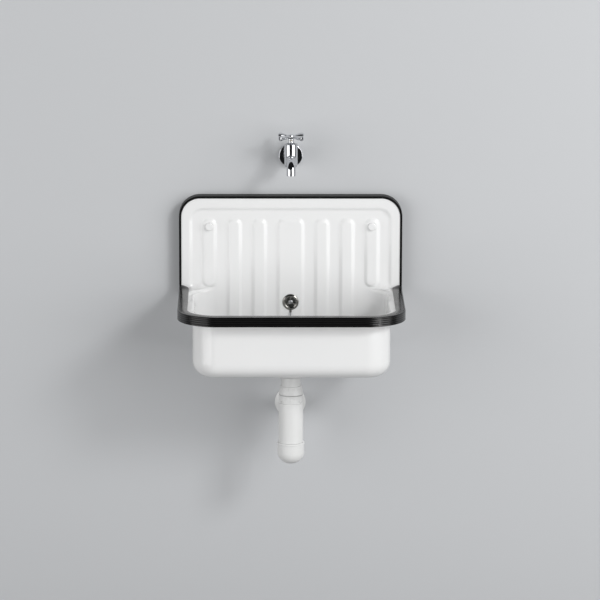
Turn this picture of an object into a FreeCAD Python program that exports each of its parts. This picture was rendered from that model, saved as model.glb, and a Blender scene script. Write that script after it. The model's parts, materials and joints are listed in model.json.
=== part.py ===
"""Wall-hung enamelled utility sink with ribbed splashback, overflow, plug, bottle trap and wall tap.

Millimetres. X is to the right, Y into the wall and Z up. The origin lies on the wall plane,
midway between the two wall screws.
"""

import FreeCAD
import Part
import math
import os

V = FreeCAD.Vector
UP = V(0, 0, 1)
DOWN = V(0, 0, -1)
FRONT = V(0, -1, 0)
BACK = V(0, 1, 0)

# Overall sizes of the sink
SINK_WIDTH = 510.0
SINK_DEPTH = 350.0
SPLASH_RISE = 212.0
BOWL_DROP = 152.0
RIM_BELOW_FIXINGS = 142.0

# Pressing
SHEET = 2.5
STANDOFF = 28.0
SPLASH_CORNER = 48.0
BORDER_SIDE = 27.5
BORDER_TOP = 30.5
PANEL_RECESS = 4.0
PANEL_CORNER = 26.0
RIM_LEDGE = 34.0
RIM_CORNER = 88.0
BOWL_CORNER = 54.0
FLOOR_ROUND = 35.0
BOWL_LIP = 5.0

# Ribs of the splashback
RIB_PITCH = 28.6
RIB_RISE = 5.0
RIB_FLANK = 7.0
RIB_CORNER = 10.5
RIB_TOP_GAP = 24.0
RIB_FLOOR_GAP = 8.0
OUTER_RIB_GAP = 1.0

# Black edging
TRIM_WALL = 3.0
TRIM_LIP = 4.0
TRIM_FACE = 1.5
TRIM_ROUND = 1.2
GUARD_WALL = 3.0
GUARD_WIDTH = 22.5
GUARD_DROP = 22.3
GUARD_HOOK = 5.0
GUARD_HOOK_WALL = 2.2
GUARD_ROUND = 2.2
GUARD_END_CORNER = 8.0
GUARD_RIDGES = 3
RIDGE_DEPTH = 0.6
RIDGE_WIDTH = 2.2
EDGE_FIT = 0.05

# Shared edge rounds and cutting allowance
FINE_ROUND = 0.5
EDGE_ROUND = 1.0
SOFT_ROUND = 2.0
OVERCUT = 1.0
TOUCH = 0.01
SAME_POINT = 1e-6

# Wall fixings
FIXING_SPACING = 372.0
FIXING_SCREW_R = 4.0
FIXING_THREAD_R = 3.6
FIXING_HOLE_R = 5.0
FIXING_IN_WALL = 45.0
SCREW_HEAD_R = 6.5
SCREW_HEAD_H = 3.6
WASHER_R = 8.0
WASHER_H = 1.4
SPACER_R = 9.0
CAP_R = 9.4
CAP_H = 6.6
CAP_WALL = 0.9
CAP_ROUND = 2.6

# Overflow
OVERFLOW_BELOW_RIM = 34.3
OVERFLOW_HOLE_R = 14.5
ROSETTE_R = 18.5
ROSETTE_H = 3.4
ROSETTE_EDGE_H = 1.4
ROSETTE_CROWN_R = 15.2
ROSETTE_MOUTH_H = 2.0
ROSETTE_MOUTH_R = 11.6
ROSETTE_SLEEVE_R = 13.6
ROSETTE_SLEEVE_DEPTH = 6.5
ROSETTE_HUB_R = 5.6
ROSETTE_ARM = 3.2
ROSETTE_ARMS = 3
OVERFLOW_SCREW_R = 2.5
OVERFLOW_HEAD_R = 4.8
OVERFLOW_HEAD_H = 2.2
OVERFLOW_HEAD_EDGE_H = 0.9
OVERFLOW_HEAD_CROWN_R = 2.9
SLOT_WIDTH = 1.2
SLOT_DEPTH = 1.1
OVERFLOW_SEAL_H = 2.0
ELBOW_R = 20.5
ELBOW_WALL = 2.4
ELBOW_BACK_GAP = 1.5
PIPE_R = 8.0
PIPE_WALL = 1.4
PIPE_BEND = 42.0
SPIGOT_WALL = 1.9
SPIGOT_LENGTH = 14.0
PIPE_INSERT = 10.5
PIPE_NUT_WALL = 1.4
PIPE_NUT_LENGTH = 13.0

# Waste in the bowl's floor
DRAIN_FROM_WALL = 170.0
DRAIN_HOLE_R = 26.0
STRAINER_R = 35.0
STRAINER_FLANGE = 2.7
STRAINER_CUP_R = 25.0
STRAINER_CUP_DEPTH = 13.5
STRAINER_WALL = 2.4
STRAINER_EDGE_H = 0.8
STRAINER_BEVEL = 4.0
STRAINER_MOUTH = 2.0
STRAINER_HOLES = 6
STRAINER_HOLE_R = 4.6
STRAINER_HOLE_RING = 14.2
WASTE_SCREW_R = 3.0
WASTE_HEAD_R = 5.0
WASTE_HEAD_H = 2.6
WASTE_SCREW_PROUD = 3.0
UPPER_SEAL_H = 1.5
LOWER_SEAL_H = 3.0
SEAL_R = 33.0
WASTE_FLANGE_H = 4.0
WASTE_CUP_R = 29.5
WASTE_WALL = 2.6
WASTE_CUP_DEPTH = 17.0
WASTE_CONE = 5.0
WASTE_ROUND = 3.0
TAIL_R = 22.0
TAIL_END_BELOW_BOWL = 58.0
THREAD_R = 20.8
PORT_BELOW_BOWL = 20.0
PORT_LENGTH = 46.0
SPIDER_ARM = 4.0
SPIDER_H = 5.0
SPIDER_BOSS_R = 6.0
SPIDER_ARMS = 3
SPIDER_TURN = 90.0
SPIDER_GAP = 0.5

# Plug and its chain
PLUG_LIP_R = 26.6
PLUG_LIP_H = 2.2
PLUG_DEPTH = 9.0
PLUG_GAP = 0.3
PLUG_END_GAP = 1.0
PLUG_TAPER = 0.6
PLUG_DOME = 0.4
PLUG_SHOULDER = 5.0
PLUG_SHOULDER_ROUND = 6.0
POST_R = 3.0
POST_H = 8.5
POST_FOOT = 2.0
POST_ROUND = 2.4
CHAIN_R = 1.6
CLASP_R = 2.3
CLASP_LENGTH = 6.0
PLUG_CLASP_X = 8.0
PLUG_CLASP_BACK = 13.0
LINK_R = 0.9
LINK_LENGTH = 6.5
LUG_WIDTH = 5.0
LUG_DROP = 5.0
LUG_THICK = 1.6

# Chain's first and last runs, and its lay between them: x, forward of the clasp, above the floor
CHAIN_FIRST_RUN = 22.0
CHAIN_LAST_RUN = 16.0
CHAIN_LAY = (
    (-0.8, 2.5, 38.8),
    (-3.0, 13.0, 16.0),
    (-1.0, 29.0, 2.5),
    (8.0, 50.0, 0.0),
    (24.0, 70.0, 0.0),
    (34.0, 92.0, 0.4),
)
ARC_SHARE = 0.45

# Bottle trap
NUT_TOP_BELOW_BOWL = 44.6
INLET_NUT_H = 20.0
INLET_NUT_TOP_R = 23.8
INLET_NUT_R = 27.0
INLET_NUT_SKIRT = 4.0
NUT_LIP = 1.8
NUT_GRIPS = 12
GRIP_R = 1.6
GRIP_SINK = 0.55
GRIP_INSET = 1.5
GRIP_SHORT = 6.0
INLET_GRIP_OUT = 1.2
OUTLET_GRIP_IN = 1.0
THREAD_FIT = 0.1
WASHER_SEAL_H = 2.0
DIP_FLANGE_H = 3.0
DIP_R = 16.0
DIP_WALL = 2.0
DIP_ABOVE_CUP = 12.0
COLLAR_GAP = 0.9
COLLAR_H = 18.5
COLLAR_R = 27.4
COLLAR_LIP = 3.0
COLLAR_TAPER = 1.0
COLLAR_SHOULDER = 3.0
COLLAR_SEAL_H = 3.0
COLLAR_SEAL_FIT = 0.4
BOTTLE_R = 27.8
BOTTLE_WALL = 2.8
BOTTLE_H = 92.0
BOTTLE_NECK_R = 24.4
BOTTLE_ROUND = 2.0
BOTTLE_INNER_ROUND = 3.0
CUP_R = 30.2
CUP_H = 50.0
CUP_WALL = 3.0
CUP_FLAT_R = 4.0
CUP_INNER_ROUND = 17.2
CUP_THREAD_R = 26.0
CUP_THREAD_H = 14.0
CUP_FIT = 0.3
CUP_SEAL_H = 2.0
CUP_BEAD_R = 1.3
CUP_BEAD_SINK = 0.4
OUTLET_BELOW_COLLAR = 40.0
OUTLET_PIPE_R = 16.0
OUTLET_PIPE_WALL = 1.8
OUTLET_SPIGOT_R = 15.5
OUTLET_IN_WALL = 45.0
STUB_LENGTH = 52.0
STUB_WALL = 4.4
STUB_SOCKET = 18.0
OUTLET_NUT_R = 24.6
OUTLET_NUT_L = 22.0
OUTLET_NUT_TAPER = 1.5
OUTLET_SEAL_L = 2.0
PUSH_FIT = 0.1
WALL_ROSETTE_R = 35.5
WALL_ROSETTE_H = 10.0
WALL_ROSETTE_WALL = 1.4
WALL_ROSETTE_EDGE = 3.0
WALL_ROSETTE_SHOULDER = 8.0
WALL_ROSETTE_FOOT = 3.0
WALL_ROSETTE_ROUND = 4.0
WALL_ROSETTE_FIT = 0.3

# Wall tap
TAP_ABOVE_FIXINGS = 161.0
TAP_BARREL_FROM_WALL = 60.0
TAP_BARREL_R = 15.0
TAP_BARREL_TOP = 34.0
TAP_BARREL_BOTTOM = 20.0
TAP_BOTTOM_ROUND = 9.0
TAP_FLOOR = 9.0
TAP_BLEND = 3.0
TAP_TAIL_R = 12.0
TAP_THREAD_R = 10.4
TAP_IN_WALL = 15.0
TAP_INLET_R = 6.0
TAP_CHAMBER_R = 11.0
TAP_SEAT_R = 5.0
TAP_SEAT_RISE = 3.0
TAP_WATERWAY_WALL = 0.6
TAP_ROSETTE_R = 27.0
TAP_ROSETTE_H = 10.0
TAP_ROSETTE_WALL = 1.4
SPOUT_R = 10.5
SPOUT_WALL = 2.5
SPOUT_REACH = 112.0
SPOUT_BEND = 22.0
SPOUT_END_DROP = 28.0
NOZZLE_H = 3.5
NOZZLE_INSERT = 4.0
NOZZLE_WALL = 1.5
BONNET_FIT = 0.1
BONNET_WALL = 2.6
BONNET_HEAD_H = 4.5
BONNET_EDGE_H = 1.8
BONNET_NECK_TAPER = 1.0
BONNET_NECK_R = 6.0
BONNET_NECK_H = 4.5
SPINDLE_R = 4.0
SPINDLE_FIT = 0.08
SPINDLE_IN_HANDLE = 8.25
STEM_SEAL_H = 2.4
STEM_SEAL_WALL = 1.8
JUMPER_H = 9.0
JUMPER_FLOOR = 3.0
JUMPER_FIT = 0.3
VALVE_LIFT = 4.0
TAP_WASHER_H = 2.0
TAP_WASHER_R = 6.8
HANDLE_GAP = 0.8
HANDLE_HUB_R = 8.6
HANDLE_HUB_H = 15.0
HANDLE_HUB_FOOT = 1.6
HANDLE_HUB_WAIST = 6.0
HANDLE_HUB_ROUND = 3.0
HANDLE_HUB_TAPER = 1.0
HANDLE_ARM_RISE = 7.6
HANDLE_ARM_ROOT_R = 3.6
HANDLE_ARM_TIP_R = 5.2
HANDLE_SPAN = 73.0
HANDLE_ARMS = 4
HANDLE_TURN = 45.0
HANDLE_BLEND = 2.0
HANDLE_WEB = 0.9
HANDLE_SCREW_R = 2.0
HANDLE_SCREW_DEPTH = 6.75
HANDLE_SCREW_HEAD_R = 3.6
HANDLE_SCREW_HEAD_H = 2.2
HANDLE_CAP_R = 5.6
HANDLE_CAP_H = 2.4
HANDLE_CAP_SHOULDER = 1.5
HANDLE_CAP_ROUND = 2.4

# Levels and faces worked out from the sizes above
RIM_Z = -RIM_BELOW_FIXINGS
FLANGE_TOP = RIM_Z - GUARD_WALL
FLANGE_LOW = FLANGE_TOP - SHEET
SKIRT_LOW = RIM_Z - GUARD_DROP + GUARD_HOOK_WALL
SPLASH_TOP = RIM_Z + SPLASH_RISE
BOWL_LOW = RIM_Z - BOWL_DROP
FLOOR_Z = BOWL_LOW + SHEET
HALF_WIDTH = SINK_WIDTH / 2
STEEL_HALF = HALF_WIDTH - TRIM_WALL
STEEL_DEPTH = SINK_DEPTH - GUARD_WALL
BOWL_HALF = HALF_WIDTH - RIM_LEDGE
BOWL_DEPTH = SINK_DEPTH - RIM_LEDGE
PANEL_Y = -(STANDOFF - PANEL_RECESS)
PANEL_BACK = PANEL_Y + SHEET
CREST_Y = PANEL_Y - RIB_RISE
CREST_BACK = CREST_Y + SHEET
OVERFLOW_Z = RIM_Z - OVERFLOW_BELOW_RIM
DRAIN_Y = -DRAIN_FROM_WALL
TAP_Z = TAP_ABOVE_FIXINGS
BARREL_Y = -TAP_BARREL_FROM_WALL


def corner_loop(corners, place):
    """Closed wire through (a, b, round) corners, each corner rounded by its own radius."""
    cuts = []
    for i, (a, b, radius) in enumerate(corners):
        here = V(a, b, 0)
        before = V(*corners[i - 1][:2], 0) - here
        after = V(*corners[(i + 1) % len(corners)][:2], 0) - here
        before.normalize()
        after.normalize()
        if radius == 0:
            cuts.append((here, None, here))
            continue
        half = before.getAngle(after) / 2
        middle = before + after
        middle.normalize()
        start = here + before * (radius / math.tan(half))
        end = here + after * (radius / math.tan(half))
        crown = here + middle * (radius / math.sin(half) - radius)
        cuts.append((start, crown, end))
    edges = []
    for i, (start, crown, end) in enumerate(cuts):
        last = cuts[i - 1][2]
        if (start - last).Length > SAME_POINT:
            edges.append(Part.makeLine(place(last.x, last.y), place(start.x, start.y)))
        if crown is not None:
            points = [place(p.x, p.y) for p in (start, crown, end)]
            edges.append(Part.Arc(*points).toShape())
    return Part.Wire(edges)


def outward(solid):
    """The same solid with its faces pointing out."""
    return solid if solid.Volume > 0 else solid.reversed()


def prism(wire, travel):
    """Solid swept from a flat wire along a straight travel."""
    return outward(Part.Face(wire).extrude(travel))


def turned(profile, base=V(0, 0, 0), axis=UP):
    """Solid turned from (radius, height, round) corners about an axis through base."""
    wire = corner_loop(profile, lambda a, b: V(a, 0, b))
    solid = outward(Part.Face(wire).revolve(V(0, 0, 0), UP, 360))
    solid.Placement = FreeCAD.Placement(base, FreeCAD.Rotation(UP, axis))
    return solid


def rod(radius, length, base, axis=UP):
    """Round bar from base along axis."""
    return Part.makeCylinder(radius, length, base, axis)


def ring(outer, inner, length, base, axis=UP):
    """Plain ring from base along axis."""
    return rod(outer, length, base, axis).cut(rod(inner, length, base, axis))


def block(low, high):
    """Box between two corners."""
    size = high - low
    return Part.makeBox(size.x, size.y, size.z, low)


def swept(radius, path_edges):
    """Round bar along a smooth path."""
    path = Part.Wire(path_edges)
    start = path_edges[0].Vertexes[0].Point
    along = path_edges[0].tangentAt(path_edges[0].FirstParameter)
    section = Part.Wire(Part.makeCircle(radius, start, along))
    return outward(path.makePipeShell([section], True, False))


def round_copies(solid, count, base, axis=UP, first=0.0):
    """Copies of a solid at equal turns about an axis."""
    copies = []
    for i in range(count):
        copy = solid.copy()
        copy.rotate(base, axis, first + 360.0 * i / count)
        copies.append(copy)
    return copies


def wall_outline(half_width, top, corner, low, y):
    """Outline of the splashback in the plane at y."""
    corners = [(-half_width, low, 0), (half_width, low, 0)]
    corners += [(half_width, top, corner), (-half_width, top, corner)]
    return corner_loop(corners, lambda a, b: V(a, y, b))


def rim_outline(half_width, depth, corner, back, z):
    """Outline of the rim, open to the wall, in the plane at z."""
    corners = [(-half_width, back, 0), (-half_width, -depth, corner)]
    corners += [(half_width, -depth, corner), (half_width, back, 0)]
    return corner_loop(corners, lambda a, b: V(a, b, z))


def bowl_outline(grow, back, z):
    """Outline of the bowl in plan, grown from its outside on three sides."""
    half_width = BOWL_HALF + grow
    corner = BOWL_CORNER + grow
    corners = [(-half_width, back, corner), (-half_width, -BOWL_DEPTH - grow, corner)]
    corners += [(half_width, -BOWL_DEPTH - grow, corner), (half_width, back, corner)]
    return corner_loop(corners, lambda a, b: V(a, b, z))


def bowl_block(inset, back, low, high):
    """Solid bowl form with its floor edge rounded."""
    solid = prism(bowl_outline(-inset, back, low), UP * (high - low))
    floor_edges = [e for e in solid.Edges if e.BoundBox.ZMax < low + TOUCH]
    return solid.makeFillet(FLOOR_ROUND - inset, floor_edges)


def bowl_flare(inset, back, level):
    """Widening at the bowl's lip, ending at the level given."""
    low = bowl_outline(-inset, back, level - BOWL_LIP)
    high = bowl_outline(BOWL_LIP - inset, back, level)
    return outward(Part.makeLoft([low, high], True, True))


def rib_places():
    """Centre, half width and lower end of each rib at the middle of its flank."""
    inner_end = FLOOR_Z + FLOOR_ROUND + RIB_FLOOR_GAP
    outer_end = FLANGE_TOP + RIB_FLANK / 2 + OUTER_RIB_GAP
    places = [(0.0, RIB_PITCH, inner_end)]
    half = RIB_PITCH / 2
    beside_centre = RIB_PITCH * 2 + half
    for side in (-1, 1):
        places.append((side * beside_centre, half, inner_end))
        places.append((side * (beside_centre + RIB_PITCH * 2), half, inner_end))
        places.append((side * FIXING_SPACING / 2, half, outer_end))
    return places


def rib_form(centre, half, end, grow, base_y, crest_y):
    """One rib as a bar with sloping flanks, from its foot to its crest."""
    top = SPLASH_TOP - BORDER_TOP - RIB_TOP_GAP
    wires = []
    for y, reach in ((base_y, RIB_FLANK / 2 + grow), (crest_y, grow - RIB_FLANK / 2)):
        left, right = centre - half - reach, centre + half + reach
        corner = RIB_CORNER + reach
        corners = [(left, end - reach, corner), (right, end - reach, corner)]
        corners += [(right, top + reach, corner), (left, top + reach, corner)]
        wires.append(corner_loop(corners, lambda a, b: V(a, y, b)))
    return outward(Part.makeLoft(wires, True, True))


def splash_sheet():
    """Splashback sheet with its turned-back edge and recessed panel, ribs not yet raised."""
    steel_top = SPLASH_TOP - TRIM_WALL
    steel_corner = SPLASH_CORNER - TRIM_WALL
    deep = FLANGE_LOW - SHEET
    panel_half = HALF_WIDTH - BORDER_SIDE
    panel_top = SPLASH_TOP - BORDER_TOP
    body = prism(wall_outline(STEEL_HALF, steel_top, steel_corner, FLANGE_LOW, 0), FRONT * STANDOFF)
    recess = prism(
        wall_outline(panel_half, panel_top, PANEL_CORNER, deep, PANEL_Y), FRONT * (PANEL_RECESS + SHEET)
    )
    hollow = prism(
        wall_outline(STEEL_HALF - SHEET, steel_top - SHEET, steel_corner - SHEET, deep, SHEET),
        FRONT * STANDOFF,
    )
    pad = prism(
        wall_outline(panel_half + SHEET, panel_top + SHEET, PANEL_CORNER + SHEET, deep - SHEET, PANEL_BACK),
        FRONT * (PANEL_RECESS + SHEET),
    )
    return body.cut(recess).cut(hollow.cut(pad))


def basin():
    """Bowl, rim and splashback in one sheet."""
    flange = prism(
        rim_outline(STEEL_HALF, STEEL_DEPTH, RIM_CORNER - GUARD_WALL, PANEL_BACK, FLANGE_LOW), UP * SHEET
    )
    skirt_outer = rim_outline(STEEL_HALF, STEEL_DEPTH, RIM_CORNER - GUARD_WALL, 0, SKIRT_LOW)
    skirt_inner = rim_outline(
        STEEL_HALF - SHEET, STEEL_DEPTH - SHEET, RIM_CORNER - GUARD_WALL - SHEET, SHEET, SKIRT_LOW
    )
    skirt_travel = UP * (FLANGE_TOP - SKIRT_LOW)
    skirt = prism(skirt_outer, skirt_travel).cut(prism(skirt_inner, skirt_travel))
    outside = bowl_block(0, PANEL_BACK, BOWL_LOW, FLANGE_LOW)
    outside = outside.fuse(bowl_flare(0, PANEL_BACK, FLANGE_LOW))
    inside = bowl_block(SHEET, PANEL_Y, FLOOR_Z, FLANGE_TOP + SHEET)
    inside = inside.fuse(bowl_flare(SHEET, PANEL_Y, FLANGE_TOP))
    sheet = splash_sheet().multiFuse([flange, skirt, outside]).cut(inside)
    slope = math.atan2(RIB_RISE, RIB_FLANK)
    draw_in = -SHEET * math.tan(slope / 2)
    bumps = [rib_form(*place, 0, PANEL_Y, CREST_Y) for place in rib_places()]
    grooves = [rib_form(*place, draw_in, PANEL_BACK, CREST_BACK) for place in rib_places()]
    sheet = sheet.multiFuse(bumps)
    for groove in grooves:
        sheet = sheet.cut(groove)
    for side in (-1, 1):
        hole = rod(FIXING_HOLE_R, STANDOFF * 2, V(side * FIXING_SPACING / 2, 0, 0), FRONT)
        sheet = sheet.cut(hole)
    sheet = sheet.cut(rod(OVERFLOW_HOLE_R, STANDOFF * 2, V(0, 0, OVERFLOW_Z), FRONT))
    sheet = sheet.cut(rod(DRAIN_HOLE_R, SHEET + OVERCUT * 2, V(0, DRAIN_Y, BOWL_LOW - OVERCUT)))
    return sheet.removeSplitter()


def splash_edge_trim():
    """Black edging that covers the splashback's turned edge and laps over its face."""
    low = RIM_Z - GUARD_DROP
    hollow_half = STEEL_HALF + EDGE_FIT
    hollow_top = SPLASH_TOP - TRIM_WALL + EDGE_FIT
    face_half = HALF_WIDTH - TRIM_LIP
    face_top = SPLASH_TOP - TRIM_LIP
    body = prism(
        wall_outline(HALF_WIDTH, SPLASH_TOP, SPLASH_CORNER, low, 0), FRONT * (STANDOFF + TRIM_FACE)
    )
    front_edges = [
        e for e in body.Edges if e.BoundBox.YMax < -STANDOFF and e.BoundBox.ZMax > low + TRIM_LIP
    ]
    body = body.makeFillet(TRIM_ROUND, front_edges)
    hollow = prism(
        wall_outline(
            hollow_half, hollow_top, SPLASH_CORNER - TRIM_WALL + EDGE_FIT, low - TRIM_WALL, TRIM_WALL
        ),
        FRONT * (STANDOFF + TRIM_WALL),
    )
    window = prism(
        wall_outline(face_half, face_top, SPLASH_CORNER - TRIM_LIP, low - TRIM_WALL, TRIM_WALL),
        FRONT * (STANDOFF + TRIM_WALL + TRIM_FACE + OVERCUT),
    )
    beside_guard = block(
        V(-SINK_WIDTH, -STANDOFF - TRIM_FACE * 2, low - TRIM_WALL), V(SINK_WIDTH, -STANDOFF, RIM_Z)
    )
    return body.cut(hollow).cut(window).cut(beside_guard)


def rim_guard():
    """Black guard on the rim: top, ridged front and a hook under the steel."""
    low = RIM_Z - GUARD_DROP
    inner_half = HALF_WIDTH - GUARD_WIDTH
    inner_depth = SINK_DEPTH - GUARD_WIDTH
    body = prism(rim_outline(HALF_WIDTH, SINK_DEPTH, RIM_CORNER, -STANDOFF, low), UP * GUARD_DROP)
    top_edges = [
        e for e in body.Edges if e.BoundBox.ZMin > RIM_Z - TOUCH and e.BoundBox.YMin < -STANDOFF - TOUCH
    ]
    body = body.makeFillet(GUARD_ROUND, top_edges)
    fit = GUARD_WALL - EDGE_FIT
    cavity = prism(
        rim_outline(HALF_WIDTH - fit, SINK_DEPTH - fit, RIM_CORNER - fit, 0, SKIRT_LOW),
        UP * (FLANGE_TOP - SKIRT_LOW),
    )
    mouth = prism(
        rim_outline(inner_half, inner_depth, RIM_CORNER - GUARD_WIDTH, 0, low - GUARD_WALL),
        UP * GUARD_DROP * 2,
    )
    hook = GUARD_WALL + GUARD_HOOK
    under = prism(
        rim_outline(HALF_WIDTH - hook, SINK_DEPTH - hook, RIM_CORNER - hook, 0, low - GUARD_WALL),
        UP * (GUARD_HOOK_WALL + GUARD_WALL),
    )
    guard = body.cut(cavity).cut(mouth).cut(under)
    pitch = (GUARD_DROP - GUARD_ROUND) / (GUARD_RIDGES + 1)
    for i in range(GUARD_RIDGES):
        level = low + pitch * (i + 1) - RIDGE_WIDTH / 2
        around = prism(
            rim_outline(
                HALF_WIDTH + RIDGE_DEPTH, SINK_DEPTH + RIDGE_DEPTH, RIM_CORNER + RIDGE_DEPTH, 0, level
            ),
            UP * RIDGE_WIDTH,
        )
        kept = prism(
            rim_outline(
                HALF_WIDTH - RIDGE_DEPTH, SINK_DEPTH - RIDGE_DEPTH, RIM_CORNER - RIDGE_DEPTH, SHEET, level
            ),
            UP * RIDGE_WIDTH,
        )
        guard = guard.cut(around.cut(kept))
    for side in (-1, 1):
        edge = V(side * inner_half, -STANDOFF, 0)
        square = block(
            V(min(edge.x, edge.x + side * GUARD_END_CORNER), -STANDOFF - GUARD_END_CORNER, FLANGE_TOP),
            V(max(edge.x, edge.x + side * GUARD_END_CORNER), -STANDOFF, RIM_Z + GUARD_WALL),
        )
        bend = rod(
            GUARD_END_CORNER,
            GUARD_WALL * 2 + OVERCUT * 2,
            V(edge.x + side * GUARD_END_CORNER, -STANDOFF - GUARD_END_CORNER, FLANGE_TOP - OVERCUT),
        )
        guard = guard.cut(square.cut(bend))
    return guard


def fixings():
    """The two wall screws with their washers, spacers and cover caps."""
    pieces = {"fixing_screws": [], "fixing_washers": [], "fixing_spacers": [], "fixing_caps": []}
    for side in (-1, 1):
        seat = V(side * FIXING_SPACING / 2, CREST_Y, 0)
        head = seat + FRONT * WASHER_H
        shank = WASHER_H - CREST_Y
        tip = shank + FIXING_IN_WALL
        screw = turned(
            [
                (0, -tip, 0),
                (FIXING_THREAD_R, -tip, EDGE_ROUND),
                (FIXING_THREAD_R, -shank, 0),
                (FIXING_SCREW_R, -shank, 0),
                (FIXING_SCREW_R, 0, 0),
                (SCREW_HEAD_R, 0, 0),
                (SCREW_HEAD_R, SCREW_HEAD_H, EDGE_ROUND),
                (0, SCREW_HEAD_H, 0),
            ],
            head,
            FRONT,
        )
        pieces["fixing_screws"].append(screw)
        pieces["fixing_washers"].append(ring(WASHER_R, FIXING_SCREW_R + PUSH_FIT, WASHER_H, seat, FRONT))
        back = V(seat.x, CREST_BACK, 0)
        pieces["fixing_spacers"].append(
            ring(SPACER_R, FIXING_SCREW_R + PUSH_FIT, -CREST_BACK, back, BACK)
        )
        cap = turned(
            [
                (CAP_R - CAP_WALL, 0, 0),
                (CAP_R, 0, 0),
                (CAP_R, CAP_H, CAP_ROUND),
                (0, CAP_H, 0),
                (0, CAP_H - CAP_WALL, 0),
                (CAP_R - CAP_WALL, CAP_H - CAP_WALL, CAP_ROUND - CAP_WALL),
            ],
            seat,
            FRONT,
        )
        pieces["fixing_caps"].append(cap)
    return {name: Part.makeCompound(solids) for name, solids in pieces.items()}


def overflow_front():
    """Rosette in the bowl with its screw, and the lug that the chain hangs from."""
    seat = V(0, CREST_Y, OVERFLOW_Z)
    flange = turned(
        [
            (ROSETTE_MOUTH_R, 0, 0),
            (ROSETTE_R, 0, 0),
            (ROSETTE_R, ROSETTE_EDGE_H, EDGE_ROUND),
            (ROSETTE_CROWN_R, ROSETTE_H, SOFT_ROUND),
            (ROSETTE_MOUTH_R, ROSETTE_MOUTH_H, FINE_ROUND),
        ],
        seat,
        FRONT,
    )
    deep = V(0, CREST_Y + ROSETTE_SLEEVE_DEPTH, OVERFLOW_Z)
    sleeve = ring(ROSETTE_SLEEVE_R, ROSETTE_MOUTH_R, ROSETTE_SLEEVE_DEPTH, deep, FRONT)
    hub = rod(ROSETTE_HUB_R, ROSETTE_SLEEVE_DEPTH, deep, FRONT)
    arm = block(
        V(-ROSETTE_ARM / 2, CREST_Y, OVERFLOW_Z),
        V(ROSETTE_ARM / 2, CREST_Y + ROSETTE_SLEEVE_DEPTH, OVERFLOW_Z + ROSETTE_MOUTH_R + EDGE_FIT),
    )
    arms = round_copies(arm, ROSETTE_ARMS, seat, FRONT)
    lug = block(
        V(-LUG_WIDTH / 2, CREST_Y - LUG_THICK, OVERFLOW_Z - ROSETTE_R - LUG_DROP),
        V(LUG_WIDTH / 2, CREST_Y, OVERFLOW_Z - ROSETTE_R + ROSETTE_H),
    )
    rosette = flange.multiFuse([sleeve, hub, lug] + arms)
    rosette = rosette.cut(rod(OVERFLOW_SCREW_R + PUSH_FIT, STANDOFF * 2, V(0, 0, OVERFLOW_Z), FRONT))
    shank = -CREST_Y - ELBOW_BACK_GAP - ELBOW_WALL
    screw = turned(
        [
            (0, -shank, 0),
            (OVERFLOW_SCREW_R, -shank, FINE_ROUND),
            (OVERFLOW_SCREW_R, 0, 0),
            (OVERFLOW_HEAD_R, 0, 0),
            (OVERFLOW_HEAD_R, OVERFLOW_HEAD_EDGE_H, 0),
            (OVERFLOW_HEAD_CROWN_R, OVERFLOW_HEAD_H, EDGE_ROUND),
            (0, OVERFLOW_HEAD_H, 0),
        ],
        seat,
        FRONT,
    )
    slot = block(
        V(-OVERFLOW_HEAD_R, CREST_Y - OVERFLOW_HEAD_H - OVERCUT, OVERFLOW_Z - SLOT_WIDTH / 2),
        V(OVERFLOW_HEAD_R, CREST_Y - OVERFLOW_HEAD_H + SLOT_DEPTH, OVERFLOW_Z + SLOT_WIDTH / 2),
    )
    return {"overflow_rosette": rosette, "overflow_screw": screw.cut(slot)}


def overflow_pipe_line():
    """Axis of the overflow pipe: height of its upper end, its y, and its y at the waste."""
    pipe_y = -(ELBOW_BACK_GAP + PIPE_R + SPIGOT_WALL + PIPE_NUT_WALL)
    top = OVERFLOW_Z - ELBOW_R - SPIGOT_LENGTH + PIPE_INSERT
    front_end = DRAIN_Y + PORT_LENGTH - SPIGOT_LENGTH
    return top, pipe_y, front_end


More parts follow.
